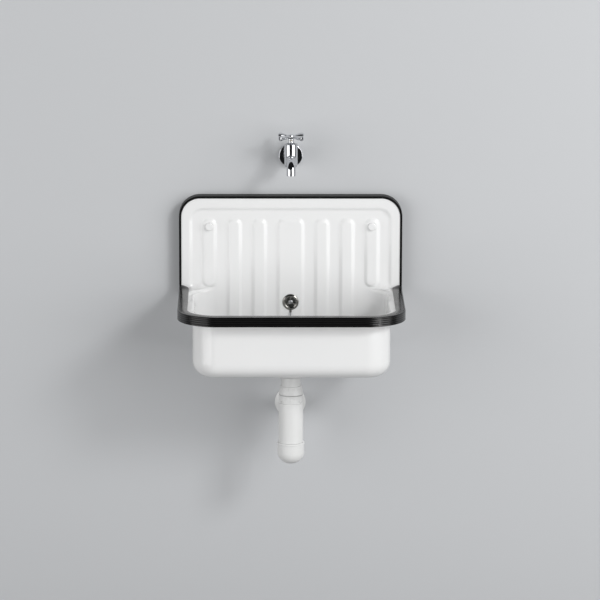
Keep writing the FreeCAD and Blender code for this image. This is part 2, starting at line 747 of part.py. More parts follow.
def overflow_back():
    """Seal, elbow, pipe and nuts behind and under the bowl."""
    top, pipe_y, front_end = overflow_pipe_line()
    seal_y = CREST_BACK
    body_y = seal_y + OVERFLOW_SEAL_H
    depth = -ELBOW_BACK_GAP - body_y
    centre = V(0, body_y, OVERFLOW_Z)
    seal = ring(ELBOW_R, OVERFLOW_HOLE_R, OVERFLOW_SEAL_H, V(0, seal_y, OVERFLOW_Z), BACK)
    spigot_r = PIPE_R + SPIGOT_WALL
    spigot_low = OVERFLOW_Z - ELBOW_R - SPIGOT_LENGTH
    shell = rod(ELBOW_R, depth, centre, BACK)
    shell = shell.fuse(rod(spigot_r, OVERFLOW_Z - spigot_low, V(0, pipe_y, spigot_low)))
    shell = shell.cut(rod(ELBOW_R - ELBOW_WALL, depth - ELBOW_WALL, centre, BACK))
    shell = shell.cut(rod(PIPE_R - PIPE_WALL, OVERFLOW_Z - spigot_low, V(0, pipe_y, spigot_low)))
    shell = shell.cut(rod(PIPE_R + PUSH_FIT, top - spigot_low, V(0, pipe_y, spigot_low)))
    boss_y = CREST_Y + ROSETTE_SLEEVE_DEPTH
    boss = ring(
        ROSETTE_HUB_R, OVERFLOW_SCREW_R + PUSH_FIT, -ELBOW_BACK_GAP - boss_y, V(0, boss_y, OVERFLOW_Z), BACK
    )
    elbow = shell.fuse(boss).cut(rod(OVERFLOW_SCREW_R + PUSH_FIT, STANDOFF, V(0, 0, OVERFLOW_Z), FRONT))
    back_plate = rod(ROSETTE_HUB_R, ELBOW_WALL, V(0, -ELBOW_BACK_GAP, OVERFLOW_Z), FRONT)
    elbow = elbow.fuse(back_plate)

    port_z = BOWL_LOW - PORT_BELOW_BOWL
    bend_z = port_z + PIPE_BEND
    bend_y = pipe_y - PIPE_BEND
    slant = PIPE_BEND * math.sqrt(0.5)
    path = [
        Part.makeLine(V(0, pipe_y, top), V(0, pipe_y, bend_z)),
        Part.Arc(
            V(0, pipe_y, bend_z), V(0, bend_y + slant, bend_z - slant), V(0, bend_y, port_z)
        ).toShape(),
        Part.makeLine(V(0, bend_y, port_z), V(0, front_end, port_z)),
    ]
    pipe = swept(PIPE_R, path).cut(swept(PIPE_R - PIPE_WALL, path))

    nut_r = spigot_r + PIPE_NUT_WALL
    upper = nut(nut_r, spigot_r + EDGE_FIT, PIPE_R + PUSH_FIT, V(0, pipe_y, spigot_low), UP)
    lower = nut(nut_r, spigot_r + EDGE_FIT, PIPE_R + PUSH_FIT, V(0, DRAIN_Y + PORT_LENGTH, port_z), FRONT)
    nuts = Part.makeCompound([upper, lower])
    return {
        "overflow_seal": seal,
        "overflow_elbow": elbow,
        "overflow_pipe": pipe,
        "overflow_pipe_nuts": nuts,
    }


def nut(outer, bore, lip_bore, mouth, axis):
    """Small pipe nut over a spigot whose end is at mouth, with a lip past the end."""
    lip = PIPE_NUT_WALL
    return turned(
        [
            (lip_bore, -lip, 0),
            (outer, -lip, FINE_ROUND),
            (outer, PIPE_NUT_LENGTH - lip, FINE_ROUND),
            (bore, PIPE_NUT_LENGTH - lip, 0),
            (bore, 0, 0),
            (lip_bore, 0, 0),
        ],
        mouth,
        axis,
    )


def waste():
    """Strainer, screw, seals and body of the waste in the bowl's floor."""
    here = V(0, DRAIN_Y, 0)
    seat = FLOOR_Z + UPPER_SEAL_H
    top = seat + STRAINER_FLANGE
    cup_low = seat - STRAINER_CUP_DEPTH
    cup_in = STRAINER_CUP_R - STRAINER_WALL
    strainer = turned(
        [
            (0, cup_low, 0),
            (STRAINER_CUP_R, cup_low, EDGE_ROUND),
            (STRAINER_CUP_R, seat, 0),
            (STRAINER_R, seat, 0),
            (STRAINER_R, seat + STRAINER_EDGE_H, 0),
            (STRAINER_R - STRAINER_BEVEL, top, STRAINER_BEVEL),
            (cup_in + STRAINER_MOUTH, top, EDGE_ROUND),
            (cup_in, top - PLUG_DEPTH, EDGE_ROUND),
            (cup_in, cup_low + STRAINER_WALL, EDGE_ROUND),
            (0, cup_low + STRAINER_WALL, 0),
        ],
        here,
    )
    below = cup_low - OVERCUT
    through = STRAINER_WALL + OVERCUT * 2
    hole = rod(STRAINER_HOLE_R, through, V(STRAINER_HOLE_RING, DRAIN_Y, below))
    for copy in round_copies(hole, STRAINER_HOLES, here):
        strainer = strainer.cut(copy)
    strainer = strainer.cut(rod(WASTE_SCREW_R + PUSH_FIT, through, V(0, DRAIN_Y, below)))

    flange_top = BOWL_LOW - LOWER_SEAL_H
    flange_low = flange_top - WASTE_FLANGE_H
    cup_end = flange_top - WASTE_CUP_DEPTH
    cone_end = cup_end - WASTE_CONE
    tail_end = BOWL_LOW - TAIL_END_BELOW_BOWL
    thread_top = BOWL_LOW - NUT_TOP_BELOW_BOWL - NUT_LIP
    bore_r = THREAD_R - WASTE_WALL
    outer = turned(
        [
            (0, tail_end, 0),
            (THREAD_R, tail_end, FINE_ROUND),
            (THREAD_R, thread_top, 0),
            (TAIL_R, thread_top, 0),
            (TAIL_R, cone_end, WASTE_ROUND),
            (WASTE_CUP_R, cup_end, WASTE_ROUND),
            (WASTE_CUP_R, flange_low, 0),
            (SEAL_R, flange_low, FINE_ROUND),
            (SEAL_R, flange_top, 0),
            (0, flange_top, 0),
        ],
        here,
    )
    inner = turned(
        [
            (0, tail_end - OVERCUT, 0),
            (bore_r, tail_end - OVERCUT, 0),
            (bore_r, cone_end, 0),
            (WASTE_CUP_R - WASTE_WALL, cup_end + WASTE_WALL, 0),
            (WASTE_CUP_R - WASTE_WALL, flange_top + OVERCUT, 0),
            (0, flange_top + OVERCUT, 0),
        ],
        here,
    )
    port_z = BOWL_LOW - PORT_BELOW_BOWL
    spigot_r = PIPE_R + SPIGOT_WALL
    port_start = V(0, DRAIN_Y, port_z)
    front_end = overflow_pipe_line()[2]
    body = outer.fuse(rod(spigot_r, PORT_LENGTH, port_start, BACK)).cut(inner)
    body = body.cut(rod(PIPE_R - PIPE_WALL, PORT_LENGTH, port_start, BACK))
    socket = DRAIN_Y + PORT_LENGTH - front_end
    body = body.cut(rod(PIPE_R + PUSH_FIT, socket, V(0, front_end, port_z), BACK))
    spider_top = cup_low - SPIDER_GAP
    spider_low = spider_top - SPIDER_H
    boss = rod(SPIDER_BOSS_R, SPIDER_H, V(0, DRAIN_Y, spider_low))
    arm = block(
        V(-WASTE_CUP_R + WASTE_WALL / 2, DRAIN_Y - SPIDER_ARM / 2, spider_low),
        V(0, DRAIN_Y + SPIDER_ARM / 2, spider_top),
    )
    body = body.multiFuse([boss] + round_copies(arm, SPIDER_ARMS, here, UP, SPIDER_TURN))
    screw_way = V(0, DRAIN_Y, spider_low - OVERCUT)
    body = body.cut(rod(WASTE_SCREW_R + PUSH_FIT, SPIDER_H + OVERCUT * 2, screw_way))

    head_z = cup_low + STRAINER_WALL
    screw_end = spider_low - WASTE_SCREW_PROUD
    screw = turned(
        [
            (0, screw_end, 0),
            (WASTE_SCREW_R, screw_end, FINE_ROUND),
            (WASTE_SCREW_R, head_z, 0),
            (WASTE_HEAD_R, head_z, 0),
            (WASTE_HEAD_R, head_z + WASTE_HEAD_H, EDGE_ROUND),
            (0, head_z + WASTE_HEAD_H, 0),
        ],
        here,
    )
    return {
        "waste_strainer": strainer,
        "waste_screw": screw,
        "waste_upper_seal": ring(
            SEAL_R, STRAINER_CUP_R + PUSH_FIT, UPPER_SEAL_H, V(0, DRAIN_Y, FLOOR_Z)
        ),
        "waste_lower_seal": ring(SEAL_R, DRAIN_HOLE_R, LOWER_SEAL_H, V(0, DRAIN_Y, flange_top)),
        "waste_body": body,
    }


def clasp(base, axis):
    """Small barrel that holds an end of the chain."""
    profile = [(0, 0, 0), (CLASP_R, 0, FINE_ROUND)]
    profile += [(CLASP_R, CLASP_LENGTH, FINE_ROUND), (0, CLASP_LENGTH, 0)]
    return turned(profile, base, axis)


def plug_and_chain():
    """Plug in its seat, the clasps, and the chain from the overflow to the plug."""
    here = V(0, DRAIN_Y, 0)
    strainer_top = FLOOR_Z + UPPER_SEAL_H + STRAINER_FLANGE
    lip_low = strainer_top + PLUG_GAP
    lip_top = lip_low + PLUG_LIP_H
    cup_in = STRAINER_CUP_R - STRAINER_WALL
    stem_low = strainer_top - PLUG_DEPTH + PLUG_END_GAP
    plug = turned(
        [
            (0, stem_low, 0),
            (cup_in - PLUG_GAP * 2, stem_low, EDGE_ROUND),
            (cup_in + PLUG_TAPER - PLUG_GAP, lip_low, 0),
            (PLUG_LIP_R, lip_low, FINE_ROUND),
            (PLUG_LIP_R, lip_top - PLUG_DOME, FINE_ROUND),
            (PLUG_LIP_R - PLUG_SHOULDER, lip_top, PLUG_SHOULDER_ROUND),
            (0, lip_top, 0),
        ],
        here,
    )
    post = turned(
        [
            (0, lip_top, 0),
            (POST_R + POST_FOOT, lip_top, 0),
            (POST_R, lip_top + POST_FOOT, EDGE_ROUND),
            (POST_R, lip_top + POST_H, POST_ROUND),
            (0, lip_top + POST_H, 0),
        ],
        here,
    )
    lug_low = OVERFLOW_Z - ROSETTE_R - LUG_DROP
    chain_y = CREST_Y - CLASP_R - PUSH_FIT
    on_plug = lip_top + CLASP_R + PLUG_GAP
    clasp_end = V(PLUG_CLASP_X, DRAIN_Y + PLUG_CLASP_BACK, on_plug)
    to_post = V(0, DRAIN_Y, on_plug) - clasp_end
    to_post.normalize()
    link = rod(LINK_R, LINK_LENGTH, clasp_end + to_post * CLASP_LENGTH, to_post)
    lower_clasp = clasp(clasp_end, to_post).fuse(link.cut(post).Solids[0])

    start = V(0, chain_y, lug_low - CLASP_LENGTH)
    floor_line = FLOOR_Z + CHAIN_R + PLUG_GAP
    points = [start, start + DOWN * CHAIN_FIRST_RUN]
    points += [V(x, chain_y - forward, floor_line + rise) for x, forward, rise in CHAIN_LAY]
    points += [clasp_end - to_post * CHAIN_LAST_RUN, clasp_end]
    line, radii = limp_line(points)
    chain = swept(CHAIN_R, line)
    length = sum(edge.Length for edge in line)
    print("chain radii, mm:", [round(radius, 1) for radius in radii])
    print("chain length, mm:", round(length, 1))
    print("chain volume against section times length:", chain.Volume / (math.pi * CHAIN_R**2 * length))
    return {
        "plug": plug,
        "plug_post": post,
        "chain_clasp": clasp(V(0, chain_y, lug_low), DOWN),
        "plug_clasp": lower_clasp,
        "plug_chain": chain,
    }


def limp_line(points):
    """Straight runs through the points joined by tangent arcs, each as large as its runs allow."""
    edges = []
    radii = []
    last = points[0]
    for i in range(1, len(points) - 1):
        here = points[i]
        before = points[i - 1] - here
        after = points[i + 1] - here
        reach = ARC_SHARE * min(before.Length, after.Length)
        before.normalize()
        after.normalize()
        half = before.getAngle(after) / 2
        radius = reach * math.tan(half)
        middle = before + after
        middle.normalize()
        start = here + before * reach
        end = here + after * reach
        crown = here + middle * (radius / math.sin(half) - radius)
        edges.append(Part.makeLine(last, start))
        edges.append(Part.Arc(start, crown, end).toShape())
        radii.append(radius)
        last = end
    edges.append(Part.makeLine(last, points[-1]))
    return edges, radii


def grip_lugs(radius, low, height, centre, axis=UP):
    """Finger grips round a nut."""
    side = V(1, 0, 0)
    lug = rod(GRIP_R, height, centre + axis * low + side * (radius - GRIP_SINK), axis)
    return round_copies(lug, NUT_GRIPS, centre, axis, 180.0 / NUT_GRIPS)


def trap_levels():
    """Heights of the trap's pieces, from the nut's top down."""
    nut_top = BOWL_LOW - NUT_TOP_BELOW_BOWL
    nut_low = nut_top - INLET_NUT_H
    collar_top = nut_low - COLLAR_GAP
    collar_low = collar_top - COLLAR_H
    bottle_low = collar_low - BOTTLE_H
    cup_low = bottle_low - CUP_H
    outlet_z = collar_low - OUTLET_BELOW_COLLAR
    return nut_top, nut_low, collar_top, collar_low, bottle_low, cup_low, outlet_z


def trap_inlet():
    """Union nut, seal and dip tube at the trap's inlet."""
    nut_top, nut_low, _, _, bottle_low, _, _ = trap_levels()
    here = V(0, DRAIN_Y, 0)
    tail_end = BOWL_LOW - TAIL_END_BELOW_BOWL
    flange_top = tail_end - WASHER_SEAL_H
    flange_low = flange_top - DIP_FLANGE_H
    bore = THREAD_R + THREAD_FIT
    union = turned(
        [
            (DIP_R + PUSH_FIT, nut_low, 0),
            (INLET_NUT_R, nut_low, EDGE_ROUND),
            (INLET_NUT_R, nut_low + INLET_NUT_SKIRT, EDGE_ROUND),
            (INLET_NUT_TOP_R, nut_top, EDGE_ROUND),
            (TAIL_R + THREAD_FIT, nut_top, 0),
            (TAIL_R + THREAD_FIT, nut_top - NUT_LIP - PUSH_FIT, 0),
            (bore, nut_top - NUT_LIP - PUSH_FIT, 0),
            (bore, flange_low, 0),
            (DIP_R + PUSH_FIT, flange_low, 0),
        ],
        here,
    )
    grip_r = INLET_NUT_TOP_R + INLET_GRIP_OUT
    union = union.multiFuse(grip_lugs(grip_r, nut_low + GRIP_INSET, INLET_NUT_H - GRIP_SHORT, here))
    union = union.cut(rod(bore, nut_top - flange_low - NUT_LIP, V(0, DRAIN_Y, flange_low)))
    dip_low = bottle_low + DIP_ABOVE_CUP
    dip = turned(
        [
            (DIP_R - DIP_WALL, dip_low, 0),
            (DIP_R, dip_low, FINE_ROUND),
            (DIP_R, flange_low, 0),
            (THREAD_R, flange_low, 0),
            (THREAD_R, flange_top, 0),
            (DIP_R - DIP_WALL, flange_top, 0),
        ],
        here,
    )
    seal = ring(THREAD_R, DIP_R - DIP_WALL, WASHER_SEAL_H, V(0, DRAIN_Y, flange_top))
    return {"trap_inlet_nut": union, "trap_dip_tube": dip, "trap_inlet_seal": seal}


def trap_bottle_group():
    """Collar nut, collar seal, bottle, cup and cup seal."""
    _, _, collar_top, collar_low, bottle_low, cup_low, outlet_z = trap_levels()
    here = V(0, DRAIN_Y, 0)
    neck_top = collar_top - COLLAR_LIP - COLLAR_SEAL_H
    collar = turned(
        [
            (DIP_R + PUSH_FIT, collar_top, 0),
            (COLLAR_R - COLLAR_TAPER, collar_top, EDGE_ROUND),
            (COLLAR_R, collar_top - COLLAR_SHOULDER, EDGE_ROUND),
            (COLLAR_R, collar_low, FINE_ROUND),
            (BOTTLE_NECK_R + THREAD_FIT, collar_low, 0),
            (BOTTLE_NECK_R + THREAD_FIT, collar_top - COLLAR_LIP, 0),
            (DIP_R + PUSH_FIT, collar_top - COLLAR_LIP, 0),
        ],
        here,
    )
    collar = collar.multiFuse(grip_lugs(COLLAR_R, collar_low + GRIP_INSET, COLLAR_H - GRIP_SHORT, here))
    collar = collar.cut(rod(BOTTLE_NECK_R + THREAD_FIT, COLLAR_H - COLLAR_LIP, V(0, DRAIN_Y, collar_low)))
    collar_seal_r = BOTTLE_NECK_R - COLLAR_SEAL_FIT
    collar_seal = ring(collar_seal_r, DIP_R + EDGE_FIT, COLLAR_SEAL_H, V(0, DRAIN_Y, neck_top))

    thread_low = bottle_low - CUP_THREAD_H
    bottle_in = BOTTLE_R - BOTTLE_WALL
    outer = turned(
        [
            (0, thread_low, 0),
            (CUP_THREAD_R, thread_low, FINE_ROUND),
            (CUP_THREAD_R, bottle_low, 0),
            (BOTTLE_R, bottle_low, FINE_ROUND),
            (BOTTLE_R, collar_low, BOTTLE_ROUND),
            (BOTTLE_NECK_R, collar_low, 0),
            (BOTTLE_NECK_R, neck_top, 0),
            (0, neck_top, 0),
        ],
        here,
    )
    inner = turned(
        [
            (0, thread_low - OVERCUT, 0),
            (CUP_THREAD_R - BOTTLE_WALL, thread_low - OVERCUT, 0),
            (CUP_THREAD_R - BOTTLE_WALL, bottle_low, 0),
            (bottle_in, bottle_low + BOTTLE_WALL, 0),
            (bottle_in, collar_low - BOTTLE_WALL * 2, BOTTLE_INNER_ROUND),
            (BOTTLE_NECK_R - BOTTLE_WALL, collar_low - BOTTLE_WALL, 0),
            (BOTTLE_NECK_R - BOTTLE_WALL, neck_top + OVERCUT, 0),
            (0, neck_top + OVERCUT, 0),
        ],
        here,
    )
    branch = V(0, DRAIN_Y, outlet_z)
    stub_r = OUTLET_PIPE_R + STUB_WALL
    bottle = outer.fuse(rod(stub_r, STUB_LENGTH, branch, BACK)).cut(inner)
    bottle = bottle.cut(rod(OUTLET_PIPE_R - OUTLET_PIPE_WALL, STUB_LENGTH, branch, BACK))
    socket = V(0, DRAIN_Y + STUB_LENGTH - STUB_SOCKET, outlet_z)
    bottle = bottle.cut(rod(OUTLET_PIPE_R + PUSH_FIT, STUB_SOCKET, socket, BACK))

    cup_top = bottle_low - CUP_FIT
    ledge = thread_low - CUP_SEAL_H - CUP_FIT * 2
    cup = turned(
        [
            (0, cup_low, 0),
            (CUP_R, cup_low, CUP_R - CUP_FLAT_R),
            (CUP_R, cup_top, EDGE_ROUND),
            (CUP_THREAD_R + CUP_FIT, cup_top, 0),
            (CUP_THREAD_R + CUP_FIT, ledge, 0),
            (CUP_THREAD_R - CUP_SEAL_H, ledge, 0),
            (CUP_THREAD_R - CUP_SEAL_H, cup_low + CUP_WALL, CUP_INNER_ROUND),
            (0, cup_low + CUP_WALL, 0),
        ],
        here,
    )
    bead_at = V(0, DRAIN_Y, cup_top - CUP_BEAD_R * 2)
    bead = Part.makeTorus(CUP_R - CUP_BEAD_SINK, CUP_BEAD_R, bead_at, UP)
    cup = cup.fuse(bead)
    cup_seal = ring(
        CUP_THREAD_R - PUSH_FIT,
        CUP_THREAD_R - BOTTLE_WALL,
        CUP_SEAL_H,
        V(0, DRAIN_Y, ledge + CUP_FIT),
    )
    return {
        "trap_collar_nut": collar,
        "trap_collar_seal": collar_seal,
        "trap_bottle": bottle,
        "trap_cup": cup,
        "trap_cup_seal": cup_seal,
    }


def trap_outlet():
    """Outlet nut, seal, pipe into the wall and the rosette that hides the hole."""
    outlet_z = trap_levels()[-1]
    stub_end = V(0, DRAIN_Y + STUB_LENGTH, outlet_z)
    stub_r = OUTLET_PIPE_R + STUB_WALL
    bore = stub_r + THREAD_FIT
    lip = OUTLET_PIPE_R + PUSH_FIT
    union = turned(
        [
            (lip, OUTLET_SEAL_L, 0),
            (bore, OUTLET_SEAL_L, 0),
            (bore, OUTLET_SEAL_L + NUT_LIP - OUTLET_NUT_L, 0),
            (OUTLET_NUT_R, OUTLET_SEAL_L + NUT_LIP - OUTLET_NUT_L, EDGE_ROUND),
            (OUTLET_NUT_R - OUTLET_NUT_TAPER, OUTLET_SEAL_L + NUT_LIP, EDGE_ROUND),
            (lip, OUTLET_SEAL_L + NUT_LIP, 0),
        ],
        stub_end,
        BACK,
    )
    grip_low = OUTLET_SEAL_L + NUT_LIP - OUTLET_NUT_L + GRIP_INSET
    lugs = grip_lugs(OUTLET_NUT_R - OUTLET_GRIP_IN, grip_low, OUTLET_NUT_L - GRIP_SHORT, stub_end, BACK)
    union = union.multiFuse(lugs)
    union = union.cut(rod(bore, OUTLET_NUT_L, stub_end + BACK * (OUTLET_SEAL_L - OUTLET_NUT_L), BACK))
    seal = ring(stub_r, OUTLET_PIPE_R + EDGE_FIT, OUTLET_SEAL_L, stub_end, BACK)
    pipe_start = V(0, DRAIN_Y + STUB_LENGTH - STUB_SOCKET, outlet_z)
    pipe_bore = OUTLET_PIPE_R - OUTLET_PIPE_WALL
    pipe = ring(OUTLET_PIPE_R, pipe_bore, -pipe_start.y, pipe_start, BACK)
    pipe = pipe.fuse(ring(OUTLET_SPIGOT_R, pipe_bore, OUTLET_IN_WALL, V(0, 0, outlet_z), BACK))
    pipe = pipe.removeSplitter()
    rosette = wall_rosette(
        WALL_ROSETTE_R, OUTLET_PIPE_R + WALL_ROSETTE_FIT, WALL_ROSETTE_H, WALL_ROSETTE_WALL, outlet_z
    )
    return {
        "trap_outlet_nut": union,
        "trap_outlet_seal": seal,
        "trap_outlet_pipe": pipe,
        "waste_wall_rosette": rosette,
    }


def wall_rosette(radius, bore, height, wall, z):
    """Thin domed disc against the wall, round a pipe."""
    collar = bore + wall
    shoulder = collar + WALL_ROSETTE_FOOT
    return turned(
        [
            (radius - wall, 0, 0),
            (radius, 0, 0),
            (radius, WALL_ROSETTE_EDGE, EDGE_ROUND),
            (shoulder, WALL_ROSETTE_SHOULDER, WALL_ROSETTE_ROUND),
            (collar, height, FINE_ROUND),
            (bore, height, 0),
            (bore, height - wall * 2, 0),
            (shoulder, WALL_ROSETTE_SHOULDER - wall, WALL_ROSETTE_ROUND),
            (radius - wall, WALL_ROSETTE_EDGE - wall, EDGE_ROUND),
        ],
        V(0, 0, z),
        FRONT,
    )


def tap_valve_levels():
    """Heights inside the tap: seat top, washer, jumper, bonnet's guide and bonnet's head."""
    seat_top = TAP_Z + TAP_SEAT_RISE
    washer_low = seat_top + PLUG_GAP
    jumper_low = washer_low + TAP_WASHER_H
    jumper_top = jumper_low + JUMPER_H
    guide_top = jumper_top + VALVE_LIFT + PLUG_GAP * 2
    head = TAP_Z + TAP_BARREL_TOP
    return seat_top, washer_low, jumper_low, jumper_top, guide_top, head


def barrel_joins(body):
    """Edges where the tap's tail and spout run into its barrel."""
    joins = []
    for edge in body.Edges:
        box = edge.BoundBox
        near_barrel = abs(box.Center.y - BARREL_Y) < TAP_BARREL_R and abs(box.Center.x) < TAP_BARREL_R
        leans = box.YLength > TOUCH and box.ZLength > TAP_BARREL_R
        if near_barrel and leans:
            joins.append(edge)
    return joins


def tap_body_group():
    """Tap body with spout, wall rosette and nozzle."""
    seat_top, _, _, _, _, head = tap_valve_levels()
    axis = V(0, BARREL_Y, 0)
    barrel = turned(
        [
            (0, TAP_Z - TAP_BARREL_BOTTOM, 0),
            (TAP_BARREL_R, TAP_Z - TAP_BARREL_BOTTOM, TAP_BOTTOM_ROUND),
            (TAP_BARREL_R, head, EDGE_ROUND),
            (0, head, 0),
        ],
        axis,
    )
    tail = rod(TAP_TAIL_R, TAP_BARREL_FROM_WALL, V(0, BARREL_Y, TAP_Z), BACK)
    thread = rod(TAP_THREAD_R, TAP_IN_WALL, V(0, 0, TAP_Z), BACK)
    bend_y = -(SPOUT_REACH - SPOUT_BEND)
    end_z = TAP_Z - SPOUT_END_DROP + NOZZLE_H
    slant = SPOUT_BEND * math.sqrt(0.5)
    spout_line = [
        Part.makeLine(V(0, BARREL_Y, TAP_Z), V(0, bend_y, TAP_Z)),
        Part.Arc(
            V(0, bend_y, TAP_Z),
            V(0, bend_y - slant, TAP_Z - SPOUT_BEND + slant),
            V(0, -SPOUT_REACH, TAP_Z - SPOUT_BEND),
        ).toShape(),
        Part.makeLine(V(0, -SPOUT_REACH, TAP_Z - SPOUT_BEND), V(0, -SPOUT_REACH, end_z)),
    ]
    water_start = BARREL_Y - TAP_BARREL_R
    water_line = [
        Part.makeLine(V(0, water_start, TAP_Z), V(0, bend_y, TAP_Z)),
        spout_line[1],
        spout_line[2],
    ]
    spout_in = SPOUT_R - SPOUT_WALL
    body = barrel.multiFuse([tail, swept(SPOUT_R, spout_line)]).removeSplitter()
    body = body.makeFillet(TAP_BLEND, barrel_joins(body)).fuse(thread)
    body = body.cut(swept(spout_in, water_line))
    body = body.cut(rod(TAP_CHAMBER_R, head - seat_top, V(0, BARREL_Y, seat_top)))
    low_chamber = TAP_Z - TAP_BARREL_BOTTOM + TAP_FLOOR
    body = body.cut(rod(TAP_SEAT_R, seat_top - low_chamber, V(0, BARREL_Y, low_chamber)))
    passage_r = (TAP_Z + spout_in - seat_top) / 2 - TAP_WATERWAY_WALL
    passage_z = (TAP_Z + spout_in + seat_top) / 2
    passage = rod(passage_r, TAP_BARREL_R + SPOUT_WALL, V(0, BARREL_Y, passage_z), FRONT)
    body = body.cut(passage)
    body = body.cut(
        rod(TAP_INLET_R, TAP_IN_WALL + TAP_BARREL_FROM_WALL / 2, V(0, TAP_IN_WALL, TAP_Z), FRONT)
    )
    feed_r = TAP_SEAT_R - TAP_WATERWAY_WALL
    feed_z = low_chamber + feed_r + TAP_WATERWAY_WALL
    feed = rod(feed_r, TAP_BARREL_FROM_WALL / 2 + feed_r, V(0, BARREL_Y, feed_z), BACK)
    body = body.cut(feed)
    rosette = wall_rosette(TAP_ROSETTE_R, TAP_TAIL_R + EDGE_FIT, TAP_ROSETTE_H, TAP_ROSETTE_WALL, TAP_Z)
    nozzle = turned(
        [
            (spout_in - NOZZLE_WALL, end_z - NOZZLE_H, FINE_ROUND),
            (SPOUT_R, end_z - NOZZLE_H, FINE_ROUND),
            (SPOUT_R, end_z, 0),
            (spout_in - EDGE_FIT, end_z, 0),
            (spout_in - EDGE_FIT, end_z + NOZZLE_INSERT, 0),
            (spout_in - NOZZLE_WALL, end_z + NOZZLE_INSERT, 0),
        ],
        V(0, -SPOUT_REACH, 0),
    )
    return {"tap_body": body, "tap_wall_rosette": rosette, "spout_nozzle": nozzle}


def tap_valve_group():
    """Bonnet, stem seal, spindle, jumper and washer."""
    _, washer_low, jumper_low, jumper_top, guide_top, head = tap_valve_levels()
    axis = V(0, BARREL_Y, 0)
    plug_r = TAP_CHAMBER_R - BONNET_FIT
    guide_r = plug_r - BONNET_WALL
    bonnet_low = jumper_top - JUMPER_H / 2
    stem_r = SPINDLE_R + SPINDLE_FIT
    neck_top = head + BONNET_HEAD_H + BONNET_NECK_H
    bonnet = turned(
        [
            (guide_r, bonnet_low, 0),
            (plug_r, bonnet_low, FINE_ROUND),
            (plug_r, head, 0),
            (TAP_BARREL_R, head, 0),
            (TAP_BARREL_R, head + BONNET_EDGE_H, EDGE_ROUND),
            (BONNET_NECK_R + BONNET_NECK_TAPER, head + BONNET_HEAD_H, SOFT_ROUND),
            (BONNET_NECK_R, neck_top, FINE_ROUND),
            (stem_r, neck_top, 0),
            (stem_r, guide_top, 0),
            (guide_r, guide_top, 0),
        ],
        axis,
    )
    seal_low = head - STEM_SEAL_H / 2
    groove_r = stem_r + STEM_SEAL_WALL
    bonnet = bonnet.cut(rod(groove_r, STEM_SEAL_H, V(0, BARREL_Y, seal_low)))
    stem_seal = ring(groove_r, stem_r, STEM_SEAL_H, V(0, BARREL_Y, seal_low))

    spindle_low = jumper_low + JUMPER_FLOOR + VALVE_LIFT + PLUG_GAP * 2
    handle_low = neck_top + HANDLE_GAP
    spindle_top = handle_low + SPINDLE_IN_HANDLE
    spindle = rod(SPINDLE_R, spindle_top - spindle_low, V(0, BARREL_Y, spindle_low))
    screw_way = V(0, BARREL_Y, spindle_top - HANDLE_SCREW_DEPTH)
    spindle = spindle.cut(rod(HANDLE_SCREW_R + PUSH_FIT, HANDLE_SCREW_DEPTH, screw_way))
    jumper = rod(guide_r - JUMPER_FIT, JUMPER_H, V(0, BARREL_Y, jumper_low))
    socket = V(0, BARREL_Y, jumper_low + JUMPER_FLOOR)
    jumper = jumper.cut(rod(SPINDLE_R + JUMPER_FIT, JUMPER_H, socket))
    washer = rod(TAP_WASHER_R, TAP_WASHER_H, V(0, BARREL_Y, washer_low))
    pieces = {
        "tap_bonnet": bonnet,
        "tap_stem_seal": stem_seal,
        "tap_spindle": spindle,
        "tap_jumper": jumper,
        "tap_washer": washer,
    }
    pieces.update(tap_handle_group(handle_low, spindle_top))
    return pieces


def arm_joins(handle):
    """Edges where the handle's arms run into its hub."""
    joins = []
    for edge in handle.Edges:
        middle = edge.BoundBox.Center
        from_axis = math.hypot(middle.x, middle.y - BARREL_Y)
        at_hub = abs(from_axis - HANDLE_HUB_R) < HANDLE_ARM_ROOT_R
        if at_hub and edge.Curve.TypeId == "Part::GeomBSplineCurve":
            joins.append(edge)
    return joins


